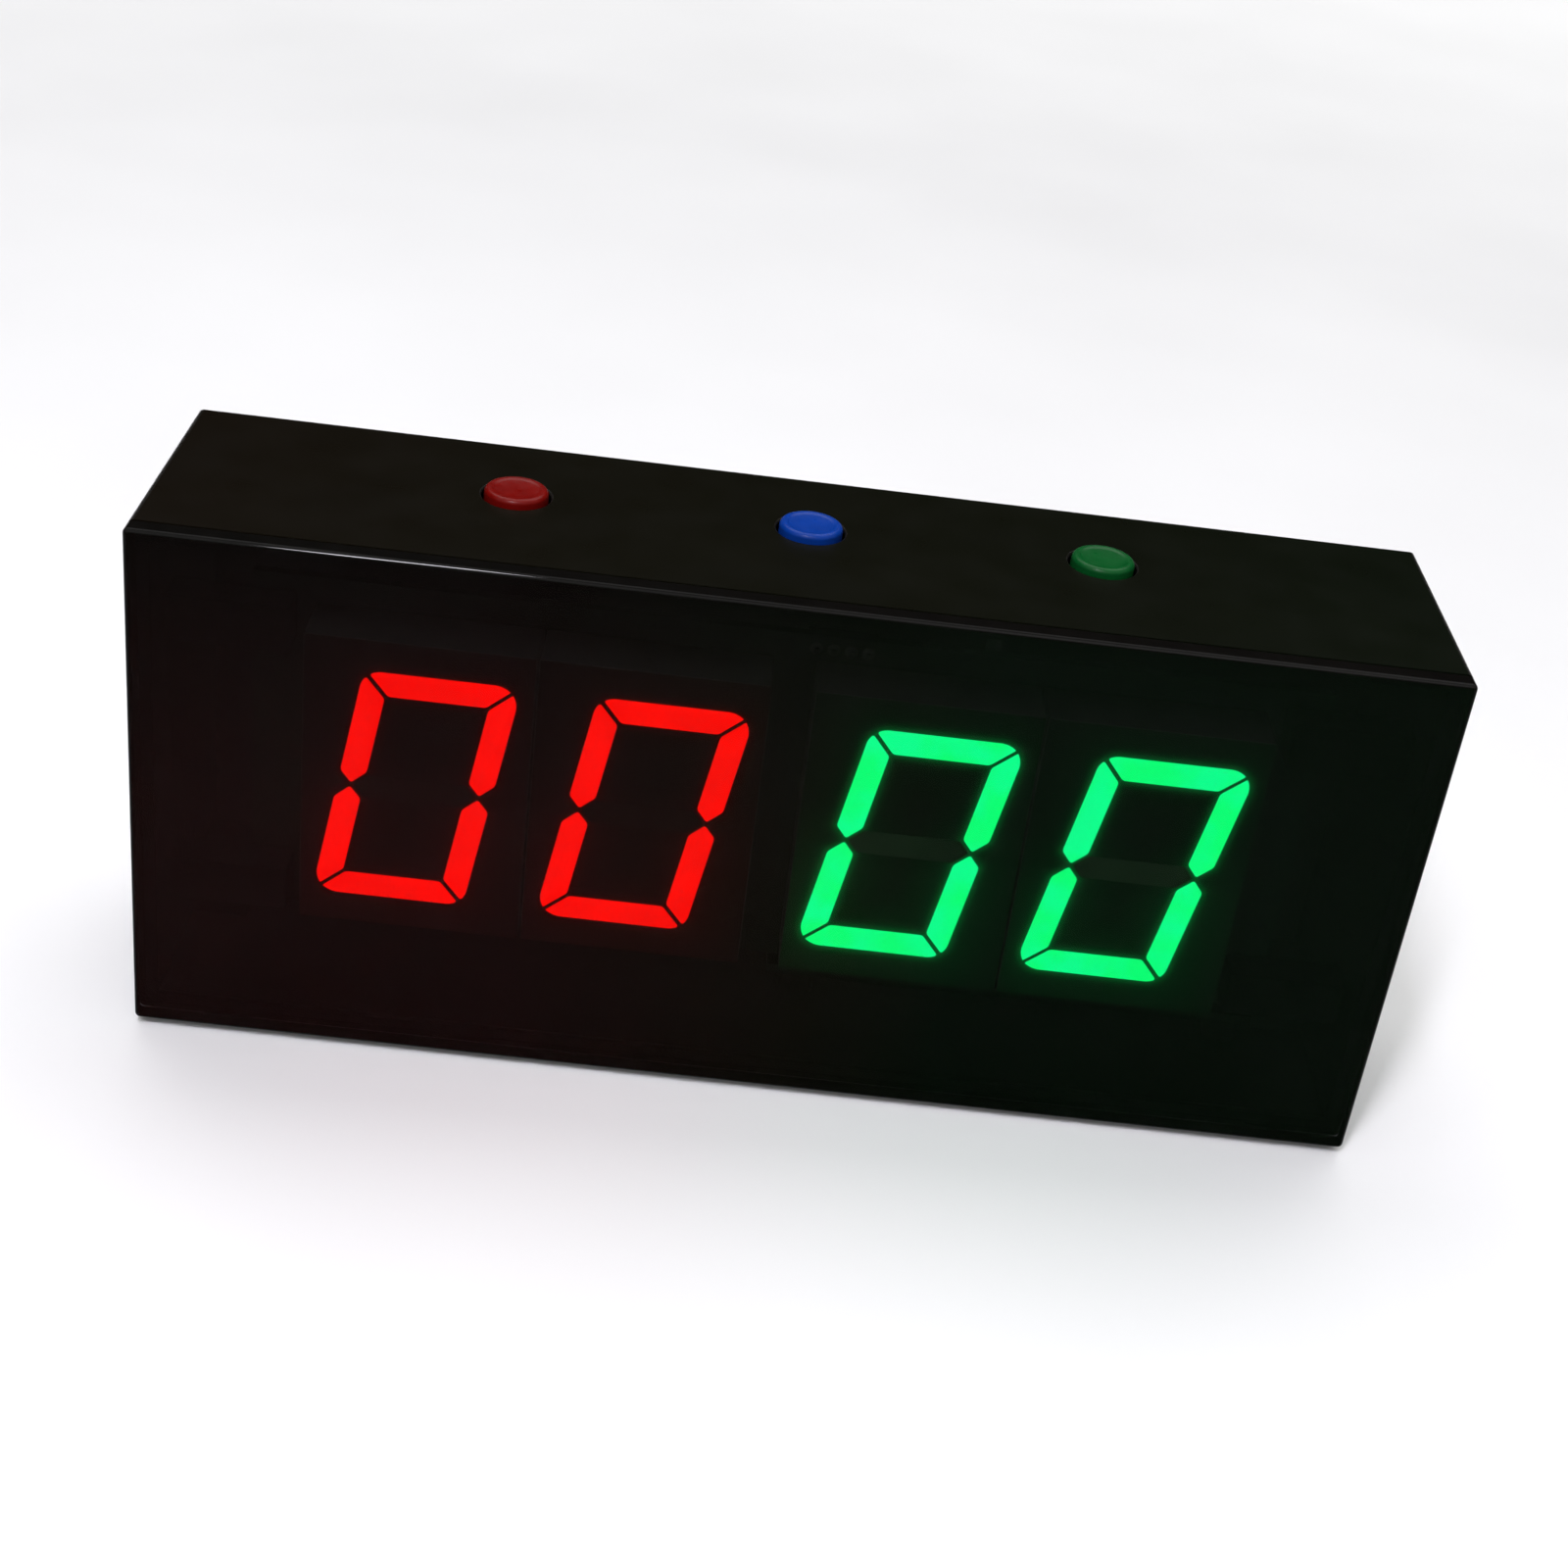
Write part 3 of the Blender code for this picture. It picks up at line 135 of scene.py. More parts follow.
def graded(tree, axis, start, end, first, second):
    """A colour that goes from first to second between two places on an axis."""
    place = tree.nodes.new("ShaderNodeTexCoord")
    split = tree.nodes.new("ShaderNodeSeparateXYZ")
    link(tree, place.outputs["Object"], split.inputs["Vector"])
    return blended(tree, ranged(tree, split.outputs[axis], 0, 1, start, end), first, second)


def scaled(colour, factor):
    """A colour made darker or lighter."""
    return tuple(min(1.0, c * factor) for c in colour)


def add_grain(tree, shader, size, strength, depth):
    """Fine bumps of about this size."""
    node = tree.nodes.new("ShaderNodeBump")
    node.inputs["Strength"].default_value = strength
    node.inputs["Distance"].default_value = depth
    link(tree, noise(tree, size, 1.0), node.inputs["Height"])
    link(tree, node.outputs["Normal"], shader.inputs["Normal"])


def surface(
    name, colour, roughness, vary=0.15, mottle=6 * MM, grain=0.25 * MM, bump=0.15,
    depth=0.02 * MM, metallic=0.0, specular=0.5, spread=0.06, scuffs=0.0, right=None,
):
    """A solid finish: mottled colour, uneven roughness, a fine grain and sparse pale scuffs.
    With right, the colour changes from left to right across the case, as painted light spill from the
    red and green digits."""
    made, tree, shader = new_material(name)
    patches = ranged(tree, noise(tree, mottle), 0, 1)
    # The left-to-right change is painted light spill from the digits.
    if right:
        reach = cad_box[1][0]
        dark, light = (
            graded(tree, "X", -reach, reach, scaled(colour, share), scaled(right, share))
            for share in (1 - vary, 1 + vary)
        )
    else:
        dark, light = scaled(colour, 1 - vary), scaled(colour, 1 + vary)
    base = blended(tree, patches, dark, light)
    if scuffs:
        marks = ranged(tree, noise(tree, SCUFF_SIZE, 6.0, 2.0), 0, scuffs, *SCUFF_BAND)
        pale = scaled([c + SCUFF_LIFT for c in colour], SCUFF_GAIN)
        base = blended(tree, marks, base, pale)
    link(tree, base, shader.inputs["Base Color"])
    rough = ranged(tree, noise(tree, mottle * 0.6, 3.0), roughness - spread, roughness + spread)
    link(tree, rough, shader.inputs["Roughness"])
    shader.inputs["Metallic"].default_value = metallic
    shader.inputs["Specular IOR Level"].default_value = specular
    add_grain(tree, shader, grain, bump, depth)
    return made


# ---------------------------------------------------------------- materials

# The warm and green panel colours are painted light spill from the red and green digits; the dark one
# is the sheet's own smoked colour.
PANEL_RED_SPILL = (0.0084, 0.0028, 0.0024)
PANEL_DARK = (0.0022, 0.0014, 0.0010)
PANEL_GREEN_SPILL = (0.0012, 0.0034, 0.0012)
PANEL_EDGE = (0.0035, 0.0032, 0.0028)
PANEL_SPECULAR = 0.03
PANEL_ALPHA = 0.62
PANEL_IOR = 1.49
# The case's warm left and green right colours are painted light spill from the red and green digits
# on its black.
CASE_LEFT_RED_SPILL = (0.0044, 0.0030, 0.0016)
CASE_RIGHT_GREEN_SPILL = (0.0022, 0.0036, 0.0014)
CAP_COLOURS = {
    "red": (0.130, 0.0020, 0.0010),
    "blue": (0.0016, 0.031, 0.225),
    "green": (0.0016, 0.066, 0.012),
}
RED_LIGHT = (1.0, 0.0012, 0.0004)
GREEN_LIGHT = (0.0025, 1.0, 0.17)
GREEN_LIGHT_COOL = (0.0035, 1.0, 0.26)
LIGHT_STRENGTH = 6.8
GLOW_STRENGTH = 1.2
DIFFUSER_SPECULAR = 0.1
DIFFUSER_SHADE = 0.05
# Painted glow on the unlit middle bars, for the light they catch from the lit bars.
RED_PAINTED_GLOW = tuple(0.012 * share for share in RED_LIGHT)
GREEN_PAINTED_GLOW = (0.018, 0.060, 0.022)
UNLIT_DARK, UNLIT_LIGHT = (0.026, 0.028, 0.024), (0.036, 0.038, 0.032)
INK_DARK, INK_LIGHT = (0.003, 0.003, 0.003), (0.007, 0.007, 0.006)
NO_LIGHT = (0, 0, 0)
FLOOR_COLOUR = (0.80, 0.80, 0.80)
FLOOR_LIT_REACH = 0.5
FLOOR_FADE_END = 2.2


def smoked_acrylic():
    """Smoked sheet that lets part of the light through, with a polish that smudges dull.
    Its colour holds painted light spill from the digits: warm on the left, green on the right, and
    least at the upper left."""
    made, tree, shader = new_material("smoked_acrylic")
    low, high, middle = node_box("front_panel")
    # Painted light spill: warm from the red digits, strongest low on the left, and green from the
    # green digits on the right.
    red_spill_end, green_spill_start = 0.4 * low.x, 0.3 * high.x
    left = graded(tree, "Z", middle.z, high.z, PANEL_RED_SPILL, PANEL_DARK)
    tint_and_spill = graded(tree, "X", red_spill_end, green_spill_start, left, PANEL_GREEN_SPILL)
    link(tree, tint_and_spill, shader.inputs["Base Color"])
    smears = noise(tree, 30 * MM, detail=4.0, distortion=1.5)
    smudge = ranged(tree, smears, 0.03, 0.10, from_low=0.45, from_high=0.75)
    link(tree, smudge, shader.inputs["Roughness"])
    shader.inputs["IOR"].default_value = PANEL_IOR
    shader.inputs["Specular IOR Level"].default_value = PANEL_SPECULAR
    shader.inputs["Alpha"].default_value = PANEL_ALPHA
    return made


def lit_bar(name, colour, other):
    """Diffuser with light behind it, slightly uneven in hue and strength."""
    made, tree, shader = new_material(name)
    shader.inputs["Base Color"].default_value = (*scaled(colour, DIFFUSER_SHADE), 1.0)
    shader.inputs["Specular IOR Level"].default_value = DIFFUSER_SPECULAR
    hue = blended(tree, ranged(tree, noise(tree, 7 * MM), 0, 1, 0.4, 0.6), colour, other)
    rough = ranged(tree, noise(tree, 0.5 * MM), 0.3, 0.45)
    link(tree, hue, shader.inputs["Emission Color"])
    link(tree, rough, shader.inputs["Roughness"])
    shader.inputs["Emission Strength"].default_value = LIGHT_STRENGTH
    return made


def unlit_bar(name, leak):
    """Milky diffuser with no light of its own, with a painted glow for the little it catches from its
    neighbours.
    """
    made, tree, shader = new_material(name)
    milky = blended(tree, noise(tree, 1.5 * MM), UNLIT_DARK, UNLIT_LIGHT)
    link(tree, milky, shader.inputs["Base Color"])
    shader.inputs["Roughness"].default_value = 0.4
    shader.inputs["Specular IOR Level"].default_value = DIFFUSER_SPECULAR
    uneven = ranged(tree, noise(tree, 6 * MM), 0.7, 1.3)
    light = blended(tree, uneven, NO_LIGHT, leak)
    link(tree, light, shader.inputs["Emission Color"])
    shader.inputs["Emission Strength"].default_value = 1.0
    return made


def glow_painted_face(name, colour):
    """Black printed face of a digit module, with a painted glow: the glow attribute says how much
    light from the lit bars is painted on it.
    """
    made, tree, shader = new_material(name)
    base = blended(tree, noise(tree, 2 * MM), INK_DARK, INK_LIGHT)
    link(tree, base, shader.inputs["Base Color"])
    shader.inputs["Roughness"].default_value = 0.5
    shader.inputs["Specular IOR Level"].default_value = 0.2
    glow = tree.nodes.new("ShaderNodeAttribute")
    glow.attribute_name = "glow"
    light = blended(tree, glow.outputs["Fac"], NO_LIGHT, colour)
    link(tree, light, shader.inputs["Emission Color"])
    shader.inputs["Emission Strength"].default_value = GLOW_STRENGTH
    return made


def pale_floor():
    """Pale studio floor that stays pale out to the horizon, past the reach of the lights."""
    made = surface("floor", FLOOR_COLOUR, 0.6, vary=0.02, mottle=120 * MM, grain=2 * MM,
                   bump=0.05, specular=0.2)
    tree = made.node_tree
    place = tree.nodes.new("ShaderNodeTexCoord")
    away = tree.nodes.new("ShaderNodeVectorMath")
    away.operation = "LENGTH"
    link(tree, place.outputs["Object"], away.inputs[0])
    far = ranged(tree, away.outputs["Value"], 0, 1, FLOOR_LIT_REACH, FLOOR_FADE_END)
    shader = tree.nodes["Principled BSDF"]
    link(tree, blended(tree, far, NO_LIGHT, FLOOR_COLOUR), shader.inputs["Emission Color"])
    shader.inputs["Emission Strength"].default_value = 1.0
    return made


def make_materials():
    """Every finish, by the name that the pieces ask for."""
    made = {
        "acrylic": smoked_acrylic(),
        "acrylic_edge": surface("acrylic_edge", PANEL_EDGE, 0.12, mottle=4 * MM, bump=0.02,
                                specular=PANEL_SPECULAR, spread=0.04),
        "acrylic_polish": surface("acrylic_polished_edge", PANEL_EDGE, 0.035, mottle=4 * MM,
                                  bump=0.02, specular=0.15, spread=0.015),
        # The case's colour goes from left to right as painted light spill from the digits.
        "case": surface("case_black", CASE_LEFT_RED_SPILL, 0.3, vary=0.05, mottle=14 * MM, grain=0.3 * MM,
                        bump=0.05, specular=0.06, spread=0.03, right=CASE_RIGHT_GREEN_SPILL),
        # Very dark inside finish: painted shade on the case's inside faces.
        "inside": surface("case_inside_painted_shade", (0.0015, 0.0015, 0.0015), 0.8, specular=0.02),
        "case_edge": surface("case_edge", (0.009, 0.008, 0.007), 0.3, vary=0.3, mottle=3 * MM,
                             grain=0.4 * MM, specular=0.2, scuffs=0.4),
        "cover": surface("cover_black", (0.0075, 0.0072, 0.0066), 0.5, vary=0.15, mottle=9 * MM,
                         grain=0.45 * MM, bump=0.6, depth=0.05 * MM, specular=0.2),
        "rubber": surface("rubber", (0.014, 0.014, 0.014), 0.8, mottle=2 * MM, bump=0.3,
                          specular=0.2),
        "adhesive": surface("black_adhesive", (0.005, 0.005, 0.005), 0.9, specular=0.05),
        "steel": surface("zinc_steel", (0.48, 0.48, 0.49), 0.32, vary=0.12, mottle=1.5 * MM,
                         grain=0.15 * MM, metallic=1.0),
        "dark_steel": surface("blackened_steel", (0.10, 0.10, 0.105), 0.42, vary=0.2,
                              mottle=1.2 * MM, grain=0.15 * MM, metallic=1.0, scuffs=0.5),
        "gold": surface("gold_contact", (0.75, 0.55, 0.25), 0.3, vary=0.1, metallic=1.0),
        "solder": surface("solder", (0.35, 0.35, 0.34), 0.45, vary=0.2, mottle=0.5 * MM,
                          metallic=1.0),
        "module": surface("module_grey", (0.20, 0.21, 0.19), 0.55, vary=0.15, mottle=5 * MM),
        "epoxy": surface("potting_epoxy", (0.45, 0.43, 0.36), 0.25, vary=0.1, mottle=4 * MM),
        "red_bar": lit_bar("red_bar", RED_LIGHT, scaled(RED_LIGHT, 0.93)),
        "green_bar": lit_bar("green_bar", GREEN_LIGHT, GREEN_LIGHT_COOL),
        "red_face": glow_painted_face("red_face", RED_LIGHT),
        "green_face": glow_painted_face("green_face", GREEN_LIGHT),
        "red_unlit": unlit_bar("red_unlit_bar", RED_PAINTED_GLOW),
        "green_unlit": unlit_bar("green_unlit_bar", GREEN_PAINTED_GLOW),
        "board": surface("board_green", (0.004, 0.030, 0.013), 0.35, vary=0.25, mottle=4 * MM,
                         bump=0.04, specular=0.2),
        "chip": surface("chip_black", (0.012, 0.012, 0.013), 0.5),
        "white": surface("connector_white", (0.62, 0.61, 0.56), 0.45, vary=0.08),
        "switch": surface("switch_black", (0.015, 0.015, 0.015), 0.45),
        "plunger": surface("plunger_white", (0.65, 0.64, 0.6), 0.45, vary=0.08),
        "cable": surface("cable_grey", (0.2, 0.2, 0.21), 0.6),
        "battery": surface("battery_blue", (0.03, 0.09, 0.26), 0.3, vary=0.1),
        "foam": surface("foam_tape", (0.55, 0.55, 0.53), 0.85, grain=0.5 * MM, bump=0.8),
        "floor": pale_floor(),
    }
    for name, colour in CAP_COLOURS.items():
        made[f"button_{name}"] = surface(
            f"button_{name}", colour, 0.33, vary=0.08, mottle=2.5 * MM, grain=0.2 * MM,
            bump=0.12, specular=0.13, scuffs=0.04,
        )
    return made


mats = make_materials()


# ---------------------------------------------------------------- mesh tools

def finished(name, bm, *materials):
    """Turns a bmesh into an object, smooth between close faces."""
    bmesh.ops.recalc_face_normals(bm, faces=bm.faces)
    mesh = bpy.data.meshes.new(name)
    bm.to_mesh(mesh)
    bm.free()
    for material in materials:
        mesh.materials.append(material)
    mesh.shade_smooth()
    mesh.set_sharp_from_angle(angle=SHARP)
    made = bpy.data.objects.new(name, mesh)
    bpy.context.scene.collection.objects.link(made)
    return made


def box(low, high, bm=None):
    """Block between two corners."""
    bm = bm or bmesh.new()
    low, high = Vector(low), Vector(high)
    for vert in bmesh.ops.create_cube(bm, size=1.0)["verts"]:
        vert.co = Vector(a * b for a, b in zip(vert.co, high - low)) + (low + high) / 2
    return bm


def edge_line(edge):
    """An edge's direction and middle."""
    start, end = (v.co for v in edge.verts)
    return (end - start).normalized(), (start + end) / 2


def round_edges(bm, chosen, radius, steps=5):
    """Rounds the edges that chosen(edge direction, edge middle) picks."""
    picked = [edge for edge in bm.edges if chosen(*edge_line(edge))]
    bmesh.ops.bevel(bm, geom=picked, offset=radius, segments=steps, profile=0.5, affect="EDGES")
    return bm


def along(axis):
    """Picks edges that run along one axis."""
    return lambda direction, middle: abs(direction[axis]) > 0.99


def turned(profile, centre=(0, 0, 0), axis="Z", steps=64, bm=None):
    """Solid of revolution. profile is (radius, height) pairs, from one end of axis to the other."""
    bm = bm or bmesh.new()
    centre = Vector(centre)
    rings = []
    for radius, height in profile:
        ring = []
        for step in range(steps if radius else 1):
            angle = 2 * math.pi * step / steps
            x, y = radius * math.cos(angle), radius * math.sin(angle)
            offset = (x, y, height) if axis == "Z" else (x, height, y)
            ring.append(bm.verts.new(centre + Vector(offset)))
        rings.append(ring)
    for lower, upper in zip(rings, rings[1:]):
        for step in range(steps):
            after = (step + 1) % steps
            corners = [lower[step % len(lower)], lower[after % len(lower)]]
            corners += [upper[after % len(upper)], upper[step % len(upper)]]
            corners = list(dict.fromkeys(corners))
            if len(corners) > 2:
                bm.faces.new(corners)
    return bm


def arc(centre, radius, start, end, steps=6):
    """Profile points along an arc, angles in degrees."""
    points = []
    for step in range(steps + 1):
        angle = math.radians(start + (end - start) * step / steps)
        points.append((centre[0] + radius * math.cos(angle), centre[1] + radius * math.sin(angle)))
    return points


def prism(outline, y_low, y_high, bm=None):
    """Extrudes an outline of (x, z) points along Y."""
    bm = bm or bmesh.new()
    front = [bm.verts.new((x, y_low, z)) for x, z in outline]
    back = [bm.verts.new((x, y_high, z)) for x, z in outline]
    bm.faces.new(front)
    bm.faces.new(list(reversed(back)))
    for index in range(len(outline)):
        after = (index + 1) % len(outline)
        bm.faces.new((front[index], back[index], back[after], front[after]))
    return bm


def rounded_rectangle(middle, width, height, radius, steps=8):
    """Outline of (x, z) points."""
    points = []
    for corner, (sx, sz) in enumerate(((1, 1), (-1, 1), (-1, -1), (1, -1))):
        centre = (middle[0] + sx * (width / 2 - radius), middle[1] + sz * (height / 2 - radius))
        points += arc(centre, radius, 90 * corner, 90 * corner + 90, steps)
    return points


def copied(node):
    """A CAD node's shape as a mesh of its own, with doubled points merged."""
    bm = bmesh.new()
    bm.from_mesh(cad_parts[node].data)
    bmesh.ops.remove_doubles(bm, verts=bm.verts, dist=0.001 * MM)
    return bm


def bake(piece):
    """Applies a piece's modifiers."""
    graph = bpy.context.evaluated_depsgraph_get()
    mesh = bpy.data.meshes.new_from_object(piece.evaluated_get(graph))
    piece.modifiers.clear()
    piece.data = mesh
    mesh.shade_smooth()
    mesh.set_sharp_from_angle(angle=SHARP)


def cut(piece, bm):
    """Cuts a shape out of a piece."""
    tool = finished("tool", bm)
    modifier = piece.modifiers.new("cut", "BOOLEAN")
    modifier.solver = "EXACT"
    modifier.object = tool
    bake(piece)
    bpy.data.objects.remove(tool)


def soften(piece, width, steps=2):
    """Small round on every sharp edge, with flat faces that stay flat in shading."""
    bevel = piece.modifiers.new("bevel", "BEVEL")
    bevel.width = width
    bevel.segments = steps
    bevel.limit_method = "ANGLE"
    bevel.angle_limit = math.radians(40)
    bevel.harden_normals = False
    bake(piece)
    keep_flat(piece)


def keep_flat(piece):
    """Weighs normals by face size, so that rounds don't bend the shading of the faces beside them."""
    weighted = piece.modifiers.new("normals", "WEIGHTED_NORMAL")
    weighted.keep_sharp = True


def paint_edges(piece, slot=1):
    """Gives the faces that look in between the axes the material for worn edges."""
    for face in piece.data.polygons:
        if max(abs(c) for c in face.normal) < 0.985:
            face.material_index = slot


def place(piece, body, slot, *nodes):
    """Rides a finished piece on its body, in place of CAD nodes."""
    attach(piece, body)
    if nodes:
        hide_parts(*nodes)


# ---------------------------------------------------------------- camera, lights and floor

AIM_SHARE = 0.658
AZIMUTH, ELEVATION, ROLL = 2.37, 30.13, 7.67  # degrees
DISTANCE = 0.3372
LENS = 54.63  # mm, as is the sensor's width
SENSOR_WIDTH = 36.0
CLIP_START = 0.01
WHITE = (1, 1, 1)
FLOOR_HALF_WIDTH = 4.0
LIGHTS = (
    # name, place, target, width and height, watts, colour
    ("key", (-0.5, -0.9, 1.1), (0, 0, 0.03), (2.4, 1.8), 10, WHITE),
    ("fill", (0.9, -0.5, 1.1), (0, 0, 0.03), (2.2, 1.8), 8, WHITE),
    ("back", (0.0, 1.3, 2.4), (0, 0.8, 0), (3.2, 2.0), 60, WHITE),
    ("glint", (-0.187, -0.50, 0.92), (-0.057, -0.02, 0.08), (0.045, 0.5), 7.0,
     (0.94, 0.92, 1.0)),
)


def add_camera():
    """Camera in front, above and slightly rolled."""
    low, high, _ = node_box("front_panel")
    aim = Vector((0.0, low.y, low.z + AIM_SHARE * (high.z - low.z)))
    azimuth, elevation, roll = (math.radians(a) for a in (AZIMUTH, ELEVATION, ROLL))
    forward = Vector((
        math.sin(azimuth) * math.cos(elevation),
        math.cos(azimuth) * math.cos(elevation),
        -math.sin(elevation),
    ))
    data = bpy.data.cameras.new("camera")
    data.lens = LENS
    data.sensor_width = SENSOR_WIDTH
    data.clip_start = CLIP_START
    camera = bpy.data.objects.new("camera", data)
    turn = forward.to_track_quat("-Z", "Y").to_matrix().to_4x4()
    spin = Matrix.Rotation(roll, 4, "Z")
    camera.matrix_world = Matrix.Translation(aim - forward * DISTANCE) @ turn @ spin
    bpy.context.scene.collection.objects.link(camera)
    bpy.context.scene.camera = camera


def add_light(name, where, target, size, power, colour):
    """Rectangular lamp aimed at a target."""
    data = bpy.data.lights.new(name, "AREA")
    data.shape = "RECTANGLE"
    data.size, data.size_y = size
    data.energy = power
    data.color = colour
    lamp = bpy.data.objects.new(name, data)
    lamp.location = where
    aim = Vector(target) - Vector(where)
    lamp.rotation_euler = aim.to_track_quat("-Z", "Y").to_euler()
    bpy.context.scene.collection.objects.link(lamp)


def add_studio():
    """Lamps, a pale floor, and a white world that only the camera sees."""
    scene = bpy.context.scene
    scene.view_settings.view_transform = "Standard"
    world = bpy.data.worlds.new("studio")
    world.use_nodes = True
    background = world.node_tree.nodes["Background"]
    background.inputs["Color"].default_value = (*WHITE, 1.0)
    background.inputs["Strength"].default_value = 1.0
    scene.world = world
    world.cycles_visibility.diffuse = False
    world.cycles_visibility.glossy = False
    for light in LIGHTS:
        add_light(*light)
    bm = bmesh.new()
    bmesh.ops.create_grid(bm, x_segments=8, y_segments=8, size=FLOOR_HALF_WIDTH)
    floor = finished("floor", bm, mats["floor"])


# ---------------------------------------------------------------- case

PANEL_CORNER = 0.8 * MM
PANEL_FRONT_ROUND = 0.7 * MM
PANEL_BACK_ROUND = 0.15 * MM
HOLE_RADIUS = 5.07 * MM
HOLE_LIP = 0.35 * MM
HOLE_DEPTH = 4 * MM
OUTER_SKIN = 1.2 * MM
COVER_CORNER = 0.8 * MM
COVER_ROUND = 0.15 * MM
SCREW_HOLE_RADIUS = 1.6 * MM
SINK_RADIUS = 3.1 * MM
SINK_DEPTH = 1.5 * MM
# Width, height and corner radius of each opening.
INLET_OPENING = (9.8 * MM, 4.1 * MM, 1.8 * MM)
SLIDER_OPENING = (5.1 * MM, 2.5 * MM, 0.5 * MM)
SOUND_SLOT = (16 * MM, 1.4 * MM, 0.69 * MM)
SOUND_SLOT_HEIGHTS = (7.65 * MM, 10.45 * MM, 13.25 * MM, 16.05 * MM)
RECESS_REACH = 1.45 * MM
RECESS_HALF_WIDTH = 0.32 * MM
RECESS_DEPTH = 0.9 * MM
RECESS_TAPER = 0.35
TIP_RADIUS = 0.3 * MM
TIP_LENGTH = 1.4 * MM
THREAD_RADIUS = 1.2 * MM
CORE_RADIUS = 0.95 * MM
THREAD_PITCH = 0.5 * MM
THREAD_END = -2.2 * MM
HEAD_DEPTH = 1.7 * MM
HEAD_RADIUS = 2.62 * MM
FOOT_HOLLOW = 0.2 * MM
FOOT_RIM = 2 * MM
FOOT_ROUND = 0.45 * MM


def front_panel():
    """Acrylic sheet: see-through faces, and rounded, polished edges that hide what is behind."""
    low, high, _ = node_box("front_panel")
    bm = box(low, high)
    round_edges(bm, along(1), PANEL_CORNER)
    round_edges(bm, lambda d, m: m.y < low.y + 0.1 * MM, PANEL_FRONT_ROUND, 7)
    round_edges(bm, lambda d, m: m.y > high.y - 0.1 * MM, PANEL_BACK_ROUND, 2)
    for face in bm.faces:
        face.normal_update()
        flat = abs(face.normal.y) > 0.99
        polished = 0.4 < face.normal.z < 0.9 and face.normal.y < 0
        face.material_index = 0 if flat else 2 if polished else 1
    panel = finished("front_panel_sheet", bm, mats["acrylic"], mats["acrylic_edge"],
                     mats["acrylic_polish"])
    keep_flat(panel)
    place(panel, "case", "smoked_acrylic", "front_panel")


def adhesive_ring():
    """Ring of tape that fills the space up to the panel's back, so no light gets out there."""
    bm = copied("panel_adhesive")
    middle = node_box("panel_adhesive")[2]
    panel_back = node_box("front_panel")[1].y
    for vert in bm.verts:
        if vert.co.y < middle.y:
            vert.co.y = panel_back + 0.01 * MM
    ring = finished("panel_adhesive_ring", bm, mats["adhesive"])
    place(ring, "case", "black_adhesive", "panel_adhesive")


def button_holes(top):
    """What is cut out for the buttons: round holes with a rounded lip."""
    bm = bmesh.new()
    for colour in BUTTONS:
        _, _, middle = node_box(f"button_cap_{colour}")
        profile = [(0, -HOLE_DEPTH), (HOLE_RADIUS, -HOLE_DEPTH)]
        profile += arc((HOLE_RADIUS + HOLE_LIP, -HOLE_LIP), HOLE_LIP, 180, 90)
        profile += [(HOLE_RADIUS + HOLE_LIP, MM), (0, MM)]
        turned(profile, (middle.x, middle.y, top), steps=FINE_STEPS, bm=bm)
    return bm


def case_shell():
    """The moulded shell, with finer button holes, worn edges and painted shade on its inside."""
    bm = copied("case_shell")
    bmesh.ops.dissolve_limit(bm, angle_limit=math.radians(0.5), verts=bm.verts, edges=bm.edges)
    for face in bm.faces:
        face.material_index = 0
    shell = finished("case_shell_moulding", bm, mats["case"], mats["case_edge"], mats["inside"])
    low, high, _ = node_box("case_shell")
    cut(shell, button_holes(high.z))
    paint_edges(shell)
    # Faces deeper than the outer skin get the dark inside finish, as painted shade.
    for face in shell.data.polygons:
        depth = min(*(face.center - low), *(high - face.center))
        if depth > OUTER_SKIN:
            face.material_index = 2
    keep_flat(shell)
    place(shell, "case", "case_black", "case_shell")


def cover_openings(bottom):
    """Outlines of the openings for the inlet and the slider, and of the sound slots."""
    _, _, inlet = node_box("charge_inlet")
    _, _, switch = node_box("power_switch_body")
    _, _, buzzer = node_box("buzzer")
    outlines = [
        rounded_rectangle((inlet.x, inlet.z), *INLET_OPENING),
        rounded_rectangle((switch.x, switch.z), *SLIDER_OPENING),
    ]
    for height in SOUND_SLOT_HEIGHTS:
        outlines.append(rounded_rectangle((buzzer.x, bottom + height), *SOUND_SLOT))
    return outlines


def rear_cover():
    """Recessed cover with countersunk holes, sound slots and openings for inlet and slider."""
    low, high, _ = node_box("rear_cover")
    bm = box(low, high)
    round_edges(bm, along(1), COVER_CORNER)
    cover = finished("rear_cover_plate", bm, mats["cover"], mats["case_edge"])
    through = low.y - high.y - MM
    tools = bmesh.new()
    for number in CORNER_NUMBERS:
        _, _, middle = node_box(f"rear_cover_screw_{number}")
        profile = [(0, through), (SCREW_HOLE_RADIUS, through), (SCREW_HOLE_RADIUS, -SINK_DEPTH)]
        profile += [(SINK_RADIUS, 0), (SINK_RADIUS, MM), (0, MM)]
        turned(profile, (middle.x, high.y, middle.z), "Y", 48, tools)
    for outline in cover_openings(low.z):
        prism(outline, low.y - MM, high.y + MM, tools)
    cut(cover, tools)
    soften(cover, COVER_ROUND)
    paint_edges(cover)
    place(cover, "case", "cover_black", "rear_cover")


